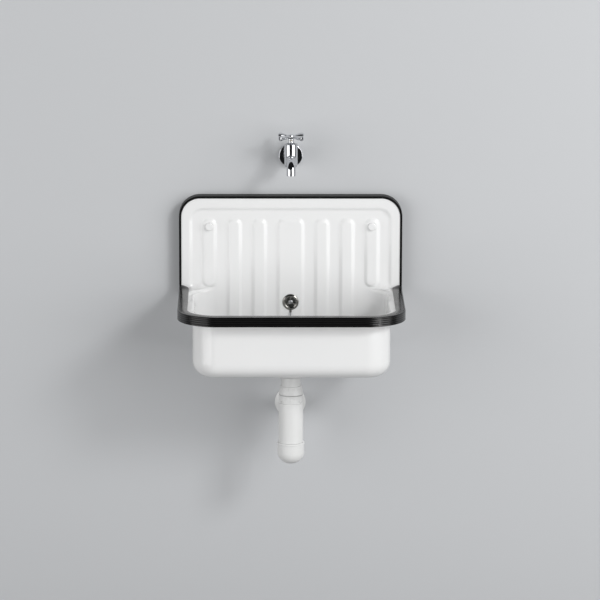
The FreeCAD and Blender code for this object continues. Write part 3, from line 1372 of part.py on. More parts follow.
def tap_handle_group(low, spindle_top):
    """Cross handle with its screw and cap."""
    axis = V(0, BARREL_Y, 0)
    top = low + HANDLE_HUB_H
    hub = turned(
        [
            (0, low, 0),
            (HANDLE_HUB_R - HANDLE_HUB_FOOT, low, EDGE_ROUND),
            (HANDLE_HUB_R, low + HANDLE_HUB_WAIST, HANDLE_HUB_ROUND),
            (HANDLE_HUB_R - HANDLE_HUB_TAPER, top, EDGE_ROUND),
            (0, top, 0),
        ],
        axis,
    )
    reach = HANDLE_SPAN / 2 - HANDLE_ARM_TIP_R
    root = V(0, BARREL_Y, low + HANDLE_ARM_RISE)
    arm = Part.makeCone(HANDLE_ARM_ROOT_R, HANDLE_ARM_TIP_R, reach, root, V(1, 0, 0))
    arm = arm.fuse(Part.makeSphere(HANDLE_ARM_TIP_R, root + V(reach, 0, 0)))
    handle = hub.multiFuse(round_copies(arm, HANDLE_ARMS, axis, UP, HANDLE_TURN)).removeSplitter()
    handle = handle.makeFillet(HANDLE_BLEND, arm_joins(handle))
    handle = handle.cut(rod(SPINDLE_R + EDGE_FIT, spindle_top - low, V(0, BARREL_Y, low)))
    head_seat = spindle_top + HANDLE_WEB
    web_low = V(0, BARREL_Y, spindle_top - OVERCUT)
    handle = handle.cut(rod(HANDLE_SCREW_R + PUSH_FIT, HANDLE_WEB + OVERCUT * 2, web_low))
    handle = handle.cut(rod(HANDLE_CAP_R + PUSH_FIT, HANDLE_HUB_H, V(0, BARREL_Y, head_seat)))
    head_r = HANDLE_SCREW_HEAD_R
    screw_low = spindle_top - HANDLE_SCREW_DEPTH + EDGE_FIT
    screw = turned(
        [
            (0, screw_low, 0),
            (HANDLE_SCREW_R, screw_low, FINE_ROUND),
            (HANDLE_SCREW_R, head_seat, 0),
            (head_r, head_seat, 0),
            (head_r, head_seat + HANDLE_SCREW_HEAD_H, FINE_ROUND),
            (0, head_seat + HANDLE_SCREW_HEAD_H, 0),
        ],
        axis,
    )
    cap_low = head_seat + HANDLE_SCREW_HEAD_H
    cap = turned(
        [
            (0, cap_low, 0),
            (HANDLE_CAP_R, cap_low, 0),
            (HANDLE_CAP_R, top, 0),
            (HANDLE_CAP_R - HANDLE_CAP_SHOULDER, top + HANDLE_CAP_H, HANDLE_CAP_ROUND),
            (0, top + HANDLE_CAP_H, 0),
        ],
        axis,
    )
    return {"tap_handle": handle, "tap_handle_screw": screw, "tap_handle_cap": cap}


def all_pieces():
    """Every piece by its node name."""
    pieces = {
        "basin": basin(),
        "splash_edge_trim": splash_edge_trim(),
        "rim_guard": rim_guard(),
    }
    groups = (
        fixings,
        overflow_front,
        overflow_back,
        waste,
        plug_and_chain,
        trap_inlet,
        trap_bottle_group,
        trap_outlet,
        tap_body_group,
        tap_valve_group,
    )
    for group in groups:
        pieces.update(group())
    return pieces


os.makedirs("parts", exist_ok=True)
for name, shape in all_pieces().items():
    shape.exportStep("parts/" + name + ".step")
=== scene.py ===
"""Dresses a wall-hung enamelled utility sink with its trap, plug chain and wall tap.

Shapes are worked out in millimetres in the row frame (X right, Y into the wall, Z up) and put into
the meshes in metres.
"""

from __future__ import annotations

import json
import logging
import math
from dataclasses import dataclass, field, replace
from enum import Enum
from typing import Sequence

import bmesh
import bpy
import numpy as np
from mathutils import Matrix, Vector

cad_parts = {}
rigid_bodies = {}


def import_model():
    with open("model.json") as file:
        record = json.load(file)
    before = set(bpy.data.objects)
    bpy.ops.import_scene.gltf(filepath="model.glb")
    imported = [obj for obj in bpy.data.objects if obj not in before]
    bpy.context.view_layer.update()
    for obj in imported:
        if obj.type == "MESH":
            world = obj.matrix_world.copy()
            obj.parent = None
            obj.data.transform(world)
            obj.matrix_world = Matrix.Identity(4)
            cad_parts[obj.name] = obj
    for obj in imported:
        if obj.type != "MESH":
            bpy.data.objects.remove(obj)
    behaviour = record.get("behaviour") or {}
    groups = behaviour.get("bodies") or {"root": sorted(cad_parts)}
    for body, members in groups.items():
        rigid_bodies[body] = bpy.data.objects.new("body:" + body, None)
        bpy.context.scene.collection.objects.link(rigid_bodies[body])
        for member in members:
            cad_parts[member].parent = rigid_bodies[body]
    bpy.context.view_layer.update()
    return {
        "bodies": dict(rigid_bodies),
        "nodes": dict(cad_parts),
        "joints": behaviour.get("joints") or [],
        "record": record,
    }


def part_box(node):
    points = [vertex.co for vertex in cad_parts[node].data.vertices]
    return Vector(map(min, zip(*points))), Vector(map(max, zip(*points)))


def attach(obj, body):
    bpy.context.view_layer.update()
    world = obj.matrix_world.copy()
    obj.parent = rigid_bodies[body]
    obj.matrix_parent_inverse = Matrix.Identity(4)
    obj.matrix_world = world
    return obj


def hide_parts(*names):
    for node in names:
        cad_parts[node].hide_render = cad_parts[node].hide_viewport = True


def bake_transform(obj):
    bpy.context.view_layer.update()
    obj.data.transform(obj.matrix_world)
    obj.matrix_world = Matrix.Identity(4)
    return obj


LOG = logging.getLogger("sink")
MM = 0.001
QUARTER = np.pi / 2.0
# Grid places across a bend, as shares of its width, and over a folded edge, as shares of its radius.
BEND = np.linspace(-0.55, 0.55, 6)
FOLD = np.array([1.0, 0.6, 0.3, 0.1, 0.0])

Colour = tuple[float, float, float]
Point = tuple[float, float, float]
Socket = bpy.types.NodeSocket


class Finish(Enum):
    """The record's material slots, each with one finish."""

    ENAMEL = "enamel"
    EDGING = "black_edging"
    ZINC = "zinc_steel"
    CHROME = "chrome"
    PLASTIC = "white_plastic"
    RUBBER = "rubber"
    BRASS = "brass"


class Facing(Enum):
    """Which way a patch of surface looks."""

    ALONG = "along a direction"
    TOWARDS = "towards a point"
    AWAY = "away from a point"


def smooth_step(value: np.ndarray) -> np.ndarray:
    """Rise from 0 to 1 over the unit interval, flat on both sides of it: 6t^5 - 15t^4 + 10t^3."""
    t = np.clip(value, 0.0, 1.0)
    return t * t * t * (t * (t * 6.0 - 15.0) + 10.0)


def sagitta(radius: float, along: np.ndarray) -> np.ndarray:
    """How far a circle leaves its tangent: radius less the root of radius squared less along squared."""
    return radius - np.sqrt(radius**2 - along**2)


def round_angles(steps: int) -> np.ndarray:
    """Equal angles once round, the first not repeated."""
    return np.linspace(0.0, 2.0 * np.pi, steps + 1)[:-1]


def merged(*parts: Sequence[float]) -> np.ndarray:
    """All the places in rising order, to a micrometre and each once."""
    return np.unique(np.round(np.concatenate(parts), 3))


def stacked(*axes: np.ndarray | float) -> np.ndarray:
    """Points from their coordinates, which are stretched to one shape."""
    return np.stack(np.broadcast_arrays(*axes), -1)


def arc(centre: tuple[float, float], radius: float, start: float, end: float, steps: int) -> np.ndarray:
    """Places on a circle from one angle to another, in degrees, as rows of two numbers."""
    turn = np.radians(np.linspace(start, end, steps + 1))
    return stacked(centre[0] + radius * np.cos(turn), centre[1] + radius * np.sin(turn))


def inside_round_box(
    x: np.ndarray, z: np.ndarray, centre: float, half: float, low: float, high: float, corner: float
) -> np.ndarray:
    """Distance inside a rectangle with round corners, negative outside it.

    The corner radius less the distance to the rectangle shrunk by that radius.

    Args:
        x: Places across.
        z: Places upwards.
        centre: Middle of the rectangle across.
        half: Half its width.
        low: Its lower edge.
        high: Its upper edge.
        corner: Radius of its corners.

    Returns:
        The signed distance at each place.
    """
    across = np.abs(x - centre) - (half - corner)
    upward = np.abs(z - (low + high) / 2.0) - ((high - low) / 2.0 - corner)
    beyond = np.hypot(np.maximum(across, 0.0), np.maximum(upward, 0.0))
    return corner - beyond - np.minimum(np.maximum(across, upward), 0.0)


@dataclass
class Patch:
    """Points in millimetres with the quads between them."""

    points: np.ndarray
    quads: np.ndarray

    @classmethod
    def grid(cls, points: np.ndarray, closed: bool = False) -> "Patch":
        """Lay quads over a grid of points, or over several grids alike.

        Args:
            points: Rows by columns by 3, with an axis of grids in front where there are several.
            closed: Whether each row runs round to its start.

        Returns:
            The patch.
        """
        rows, columns = points.shape[-3:-1]
        across = np.arange(columns if closed else columns - 1)
        after = (across + 1) % columns
        row = np.arange(rows - 1)[:, None] * columns
        quads = stacked(row + across, row + after, row + columns + after, row + columns + across)
        flat = points.reshape(-1, 3)
        starts = np.arange(0, len(flat), rows * columns)[:, None, None]
        return cls(flat, (starts + quads.reshape(-1, 4)).reshape(-1, 4))

    def face(self, facing: Facing, target: Point) -> "Patch":
        """Turn the whole patch so that most of it looks the way asked.

        Args:
            facing: How the target is meant.
            target: A direction or a point.

        Returns:
            The patch itself.
        """
        corners = self.points[self.quads]
        normal = np.cross(corners[:, 2] - corners[:, 0], corners[:, 3] - corners[:, 1])
        aim = np.array(target)
        if facing is not Facing.ALONG:
            aim = aim - corners.mean(axis=1)
        share = float((normal * aim).sum())
        if (share < 0.0) != (facing is Facing.AWAY):
            self.quads = self.quads[:, ::-1]
        return self


def join_patches(patches: Sequence[Patch]) -> Patch:
    """Put several patches into one, their points not yet merged.

    Args:
        patches: The patches.

    Returns:
        The one patch.
    """
    starts = np.cumsum([0] + [len(p.points) for p in patches[:-1]])
    quads = np.concatenate([p.quads + start for p, start in zip(patches, starts)])
    return Patch(np.concatenate([p.points for p in patches]), quads)


def mesh_piece(
    name: str, patch: Patch, caps: Sequence[Sequence[int]] = (), weld: float = 0.02, sharp: float = 35.0,
    outward: bool = True,
) -> bpy.types.Object:
    """Put a patch into a smooth shaded mesh object at the origin.

    Args:
        name: Name of the piece.
        patch: Its points in millimetres and its quads.
        caps: Extra faces with any number of corners, such as the ends of a sweep.
        weld: Distance in millimetres under which points become one.
        sharp: Angle in degrees from which an edge shows.
        outward: Whether the mesh is closed and all its faces are to look outwards.

    Returns:
        The new object, linked to the scene.
    """
    mesh = bpy.data.meshes.new(name)
    mesh.from_pydata((patch.points * MM).tolist(), [], patch.quads.tolist() + list(caps))
    work = bmesh.new()
    work.from_mesh(mesh)
    bmesh.ops.remove_doubles(work, verts=work.verts, dist=weld * MM)
    ends = [face for face in work.faces if len(face.verts) > 4]
    bmesh.ops.triangulate(work, faces=ends, ngon_method="BEAUTY")
    work.to_mesh(mesh)
    mesh.polygons.foreach_set("use_smooth", np.ones(len(mesh.polygons), bool))
    mesh.set_sharp_from_angle(angle=math.radians(sharp))
    if outward:
        work.clear()
        work.from_mesh(mesh)
        bmesh.ops.recalc_face_normals(work, faces=work.faces)
        work.to_mesh(mesh)
    work.free()
    mesh.update()
    piece = bpy.data.objects.new(name, mesh)
    bpy.context.scene.collection.objects.link(piece)
    LOG.info("%s: %d points, %d faces", name, len(mesh.vertices), len(mesh.polygons))
    return piece


def swept_piece(name: str, grid: np.ndarray, weld: float) -> bpy.types.Object:
    """Make a piece of a closed section carried along a line, with both its ends closed.

    Args:
        name: Name of the piece.
        grid: Places of the section by places along the line by 3.
        weld: Distance in millimetres under which points become one.

    Returns:
        The new object.
    """
    count, places = grid.shape[:2]
    first = np.arange(count) * places
    ends = (first.tolist(), (first + places - 1)[::-1].tolist())
    return mesh_piece(name, Patch.grid(np.concatenate([grid, grid[:1]])), ends, weld)


def turned_ring(profile: np.ndarray, foot: Point, axis: Point, steps: int) -> Patch:
    """Closed section turned about an axis: foot plus out times axis plus radius times the turning side.

    Args:
        profile: Rows of radius and distance along the axis, not repeating the first.
        foot: Where the axis starts.
        axis: Its direction, along Y or Z.
        steps: Number of steps round.

    Returns:
        The ring's patch.
    """
    along, side = np.array(axis), np.array((1.0, 0.0, 0.0))
    turn = round_angles(steps)[:, None]
    around = np.cos(turn) * side + np.sin(turn) * np.cross(along, side)
    loop = np.concatenate([profile, profile[:1]])[:, None]
    return Patch.grid(np.array(foot) + loop[..., 1:] * along + loop[..., :1] * around, closed=True)


class NodeMaker:
    """Places nodes in one tree, sets their sockets and links them."""

    def __init__(self, tree: bpy.types.NodeTree) -> None:
        """Start with an empty tree."""
        self.tree = tree
        self.tree.nodes.clear()

    def add(
        self, kind: str, values: dict[str | int, object] | None = None, **settings: object
    ) -> bpy.types.Node:
        """Add a node, set its properties and set or link its inputs.

        Args:
            kind: Blender's type name of the node.
            values: Numbers, colours or outputs by the name or place of the input.
            settings: Properties of the node by name.

        Returns:
            The new node.
        """
        column, row = len(self.tree.nodes) % 8, len(self.tree.nodes) // 8
        node = self.tree.nodes.new(kind)
        node.location = (column * 220, row * -320)
        for name, value in settings.items():
            setattr(node, name, value)
        for name, value in (values or {}).items():
            if isinstance(value, Socket):
                self.tree.links.new(value, node.inputs[name])
            else:
                node.inputs[name].default_value = (*value, 1.0) if isinstance(value, tuple) else value
        return node

    def place(self) -> Socket:
        """The piece's own coordinates."""
        return self.add("ShaderNodeTexCoord").outputs["Object"]

    def noise(self, scale: Socket | float, detail: float, roughness: float = 0.5) -> Socket:
        """Soft noise over the piece."""
        values = {"Vector": self.place(), "Scale": scale, "Detail": detail, "Roughness": roughness}
        return self.add("ShaderNodeTexNoise", values).outputs[0]

    def spread(
        self, value: Socket, low: float, high: float, to_low: Socket | float = 0.0,
        to_high: Socket | float = 1.0, kind: str = "LINEAR",
    ) -> Socket:
        """A value's place between two bounds, spread over two others."""
        values = {"Value": value, "From Min": low, "From Max": high, "To Min": to_low, "To Max": to_high}
        return self.add("ShaderNodeMapRange", values, interpolation_type=kind).outputs[0]

    def math(self, operation: str, first: Socket, second: Socket, clamp: bool = False) -> Socket:
        """Result of a sum with two values."""
        node = self.add("ShaderNodeMath", {0: first, 1: second}, operation=operation, use_clamp=clamp)
        return node.outputs[0]

    def mix_colour(self, share: Socket, first: Socket, second: Socket) -> Socket:
        """Blend of two colours, by the second one's share."""
        return self.add("ShaderNodeMix", {0: share, 6: first, 7: second}, data_type="RGBA").outputs[2]

    def mix_shader(self, share: Socket, first: Socket, second: Socket) -> Socket:
        """Blend of two shaders, by the second one's share."""
        return self.add("ShaderNodeMixShader", {0: share, 1: first, 2: second}).outputs[0]

    def group(self, tree: bpy.types.NodeTree, values: dict[str, object]) -> Socket:
        """Output of a node group with its own values."""
        return self.add("ShaderNodeGroup", values, node_tree=tree).outputs[0]


def new_material(name: str) -> tuple[bpy.types.Material, NodeMaker]:
    """Start a material without nodes.

    Args:
        name: Name of the material.

    Returns:
        The material and the maker for its nodes.
    """
    material = bpy.data.materials.new(name)
    material.use_nodes = True
    return material, NodeMaker(material.node_tree)


def new_group(
    name: str, inputs: dict[str, float | Colour], output: str, kind: str = "NodeSocketFloat"
) -> tuple[NodeMaker, bpy.types.NodeOutputs]:
    """Start a shader node group with named sockets.

    Args:
        name: Name of the group.
        inputs: Default number or colour of each input.
        output: Name of its output.
        kind: Socket type of its output.

    Returns:
        The maker for its nodes, and what comes in.
    """
    tree = bpy.data.node_groups.new(name, "ShaderNodeTree")
    for label, value in inputs.items():
        is_colour = isinstance(value, tuple)
        input_kind = "NodeSocketColor" if is_colour else "NodeSocketFloat"
        socket = tree.interface.new_socket(name=label, in_out="INPUT", socket_type=input_kind)
        socket.default_value = (*value, 1.0) if is_colour else value
    tree.interface.new_socket(name=output, in_out="OUTPUT", socket_type=kind)
    maker = NodeMaker(tree)
    return maker, maker.add("NodeGroupInput").outputs


def tone_group() -> bpy.types.NodeTree:
    """Colour that drifts a little: soft noise shares a second colour in, up to a given part.

    Returns:
        The node group.
    """
    inputs = {"Colour": (0.8, 0.8, 0.8), "Drift Colour": (0.7, 0.7, 0.7), "Share": 0.2, "Scale": 12.0}
    maker, start = new_group("tone_drift", inputs, "Colour", "NodeSocketColor")
    noise = maker.noise(start["Scale"], detail=4.0, roughness=0.55)
    share = maker.spread(noise, low=0.32, high=0.72, to_high=start["Share"])
    mixed = maker.mix_colour(share, start["Colour"], start["Drift Colour"])
    maker.add("NodeGroupOutput", {"Colour": mixed})
    return maker.tree


def gloss_group() -> bpy.types.NodeTree:
    """Roughness between two values: broad noise with finer noise in it.

    Returns:
        The node group.
    """
    maker, start = new_group("gloss_drift", {"Smooth": 0.1, "Rough": 0.2, "Scale": 9.0}, "Roughness")
    noise = maker.noise(start["Scale"], detail=6.0, roughness=0.62)
    gloss = maker.spread(noise, low=0.3, high=0.7, to_low=start["Smooth"], to_high=start["Rough"])
    maker.add("NodeGroupOutput", {"Roughness": gloss})
    return maker.tree


def grain_group() -> bpy.types.NodeTree:
    """Height of a surface: fine grain plus broad unevenness, each with its depth in millimetres.

    Returns:
        The node group.
    """
    inputs = {"Fine Scale": 400.0, "Fine Depth": 0.01, "Broad Scale": 18.0, "Broad Depth": 0.05}
    maker, start = new_group("surface_grain", inputs, "Height")
    heights = []
    for label, detail in (("Fine", 2.0), ("Broad", 1.0)):
        noise = maker.noise(start[label + " Scale"], detail, roughness=0.45)
        heights.append(maker.math("MULTIPLY", noise, start[label + " Depth"]))
    maker.add("NodeGroupOutput", {"Height": maker.math("ADD", *heights)})
    return maker.tree


def spot_group() -> bpy.types.NodeTree:
    """Mask of small dried drops: discs in scattered cells, thinned out by noise.

    Returns:
        The node group.
    """
    maker, start = new_group("dried_drops", {"Scale": 160.0, "Amount": 0.4}, "Mask")
    cells = {"Vector": maker.place(), "Scale": start["Scale"], "Randomness": 1.0}
    distance = maker.add("ShaderNodeTexVoronoi", cells).outputs["Distance"]
    discs = maker.spread(distance, low=0.34, high=0.22, kind="SMOOTHSTEP")
    thin = maker.spread(maker.noise(22.0, detail=3.0), low=0.52, high=0.66)
    mask = maker.math("MULTIPLY", maker.math("MULTIPLY", discs, thin), start["Amount"])
    maker.add("NodeGroupOutput", {"Mask": mask})
    return maker.tree


@dataclass(frozen=True)
class SharedEffects:
    """Node groups that several finishes use, each made once."""

    tone: bpy.types.NodeTree = field(default_factory=tone_group)
    gloss: bpy.types.NodeTree = field(default_factory=gloss_group)
    grain: bpy.types.NodeTree = field(default_factory=grain_group)
    spots: bpy.types.NodeTree = field(default_factory=spot_group)


@dataclass(frozen=True)
class SurfaceFinish:
    """One finish: its colours, gloss, grain and metal, from which a material is made."""

    name: str
    colour: Colour
    drift: Colour
    drift_share: float
    drift_scale: float
    smooth: float
    rough: float
    gloss_scale: float
    fine_scale: float
    fine_depth: float
    broad_scale: float
    broad_depth: float
    bump: float = 0.5
    metallic: float = 0.0
    coat: float = 0.0
    coat_roughness: float = 0.05
    ior: float = 1.5
    drops: float = 0.0

    def material(self, effects: SharedEffects) -> bpy.types.Material:
        """Make the finish's material.

        Args:
            effects: The shared node groups.

        Returns:
            The material.
        """
        material, maker = new_material(self.name)
        tone = maker.group(effects.tone, {
            "Colour": self.colour, "Drift Colour": self.drift,
            "Share": self.drift_share, "Scale": self.drift_scale,
        })
        gloss = {"Smooth": self.smooth, "Rough": self.rough, "Scale": self.gloss_scale}
        roughness = maker.group(effects.gloss, gloss)
        if self.drops > 0.0:
            spots = maker.group(effects.spots, {"Amount": self.drops})
            roughness = maker.math("ADD", roughness, spots, clamp=True)
        height = maker.group(effects.grain, {
            "Fine Scale": self.fine_scale, "Fine Depth": self.fine_depth,
            "Broad Scale": self.broad_scale, "Broad Depth": self.broad_depth,
        })
        bump = maker.add("ShaderNodeBump", {"Strength": self.bump, "Distance": MM, "Height": height})
        shader = maker.add("ShaderNodeBsdfPrincipled", {
            "Base Color": tone, "Roughness": roughness, "Metallic": self.metallic, "IOR": self.ior,
            "Coat Weight": self.coat, "Coat Roughness": self.coat_roughness,
            "Normal": bump.outputs["Normal"],
        })
        maker.add("ShaderNodeOutputMaterial", {"Surface": shader.outputs[0]})
        return material


# Each row: name, colour, second colour, its share and scale, smoothest, roughest and scale of gloss,
# then scale and depth of the fine grain and of the broad grain.
FINISHES: dict[Finish, SurfaceFinish] = {
    Finish.ENAMEL: SurfaceFinish(
        "white_enamel", (0.86, 0.863, 0.861), (0.825, 0.83, 0.833), 0.35, 7.0, 0.10, 0.17, 6.0,
        210.0, 0.035, 16.0, 0.16, bump=0.35, coat=0.1,
    ),
    Finish.EDGING: SurfaceFinish(
        "black_edging", (0.0018, 0.0017, 0.0018), (0.004, 0.0039, 0.004), 0.8, 30.0, 0.17, 0.27, 14.0,
        900.0, 0.05, 40.0, 0.05, bump=0.4,
    ),
    Finish.ZINC: SurfaceFinish(
        "zinc_plated_steel", (0.52, 0.53, 0.54), (0.40, 0.41, 0.43), 0.7, 90.0, 0.26, 0.42, 60.0,
        700.0, 0.03, 80.0, 0.03, metallic=1.0,
    ),
    Finish.CHROME: SurfaceFinish(
        "chrome_plate", (0.70, 0.71, 0.73), (0.62, 0.63, 0.65), 0.5, 20.0, 0.035, 0.09, 24.0,
        600.0, 0.004, 30.0, 0.01, bump=0.25, metallic=1.0, drops=0.05,
    ),
    Finish.PLASTIC: SurfaceFinish(
        "white_plastic", (0.81, 0.815, 0.81), (0.76, 0.765, 0.75), 0.5, 16.0, 0.30, 0.42, 18.0,
        1100.0, 0.03, 35.0, 0.08, bump=0.4, ior=1.49,
    ),
    Finish.RUBBER: SurfaceFinish(
        "black_rubber", (0.018, 0.018, 0.019), (0.035, 0.035, 0.036), 0.8, 60.0, 0.55, 0.72, 40.0,
        1200.0, 0.06, 60.0, 0.06,
    ),
    Finish.BRASS: SurfaceFinish(
        "turned_brass", (0.70, 0.51, 0.22), (0.55, 0.38, 0.15), 0.6, 50.0, 0.18, 0.32, 40.0,
        800.0, 0.02, 60.0, 0.03, metallic=1.0,
    ),
}

# Nodes that look different from the other ones of their slot.
NODE_FINISHES: dict[str, SurfaceFinish] = {
    "splash_edge_trim": replace(
        FINISHES[Finish.EDGING], name="matt_edging", smooth=0.42, rough=0.55, fine_depth=0.08, ior=1.3
    ),
    # The overflow rosette's chrome colour is painted dark, a painted reflection of a dark room; its
    # rougher gloss and extra drops are its own.
    "overflow_rosette": replace(
        FINISHES[Finish.CHROME], name="chrome_painted_dark_reflection", colour=(0.30, 0.295, 0.28),
        drift=(0.2, 0.195, 0.18), drift_scale=60.0, smooth=0.14, rough=0.26, drops=0.12,
    ),
}


class Palette:
    """Materials by slot and by node, and the dressing of pieces with them."""

    def __init__(self, effects: SharedEffects) -> None:
        """Make every finish's material."""
        self.by_slot = {slot: finish.material(effects) for slot, finish in FINISHES.items()}
        self.by_node = {node: finish.material(effects) for node, finish in NODE_FINISHES.items()}

    def pick(self, node: str, slot: Finish) -> bpy.types.Material:
        """The node's own finish where it has one, and otherwise its slot's."""
        return self.by_node.get(node, self.by_slot[slot])

    def dress(self, piece: bpy.types.Object, slot: Finish, node: str = "") -> None:
        """Give a new piece its finish, or its node's own one."""
        piece.data.materials.append(self.pick(node, slot))

    def dress_nodes(self, frame: dict) -> None:
        """Give each CAD node that stays the finish of the slot that the record gives it.
        """
        for part in frame["record"]["subparts"]:
            piece = frame["nodes"][part["node"]]
            material = self.pick(part["node"], Finish(part["material_slot"]))
            if piece.material_slots:
                for place in piece.material_slots:
                    place.material = material
            else:
                piece.data.materials.append(material)


@dataclass(frozen=True)
class RoundLine:
    """The rim's run in plan from its left back end to its right back end, as numbers of steps."""

    back_steps: int = 14
    side_steps: int = 18
    corner_steps: int = 18
    front_steps: int = 56
    shoulder_rise: float = 3.0
    shoulder_fade: float = 1.6

    def points(
        self, half: float, front: float, corner: float, back: float, round_back: bool
    ) -> tuple[np.ndarray, np.ndarray]:
        """Places along the line: back corner, side, front corner, front and the same mirrored.

        A round back corner is a quarter circle that leaves the panel; a square one is a straight
        run of the same number of steps.

        Args:
            half: Half width of the line.
            front: Its front in Y.
            corner: Radius of its corners.
            back: Y where it starts.
            round_back: Whether its back corners are round.

        Returns:
            The X and Y of each place.
        """
        turn = np.linspace(0.0, QUARTER, self.back_steps + 1)
        inner = half - corner
        if round_back:
            back_x, back_y = -inner - corner * np.sin(turn), back - corner + corner * np.cos(turn)
        else:
            back_x, back_y = np.full_like(turn, -half), back - corner * turn / turn[-1]
        side_y = np.linspace(back - corner, front + corner, self.side_steps + 1)[1:]
        bend = np.linspace(0.0, QUARTER, self.corner_steps + 1)[1:]
        bend_x, bend_y = -inner - corner * np.cos(bend), front + corner - corner * np.sin(bend)
        run = np.linspace(-inner, 0.0, self.front_steps // 2 + 1)[1:]
        x = np.concatenate([back_x, np.full_like(side_y, -half), bend_x, run])
        y = np.concatenate([back_y, side_y, bend_y, np.full_like(run, front)])
        return np.concatenate([x, -x[-2::-1]]), np.concatenate([y, y[-2::-1]])

    def run(self, start: int, steps: int) -> np.ndarray:
        """How far each place has come along a stretch from either back end, from 0 to 1.

        Args:
            start: Step where the stretch begins.
            steps: Its number of steps.

        Returns:
            The share at each place.
        """
        count = self.back_steps + self.side_steps + self.corner_steps + self.front_steps // 2
        share = np.clip((np.arange(count + 1) - start) / steps, 0.0, 1.0)
        return np.concatenate([share, share[-2::-1]])

    def back_corner(self) -> np.ndarray:
        """Share of the back corners' deeper shoulder: it rises off the panel and fades down the side.

        Returns:
            The share at each place, from 0 to 1.
        """
        down_side = self.run(self.back_steps, self.side_steps)
        rise = smooth_step(self.run(0, self.back_steps) * self.shoulder_rise)
        return rise * (1.0 - smooth_step(down_side * self.shoulder_fade))


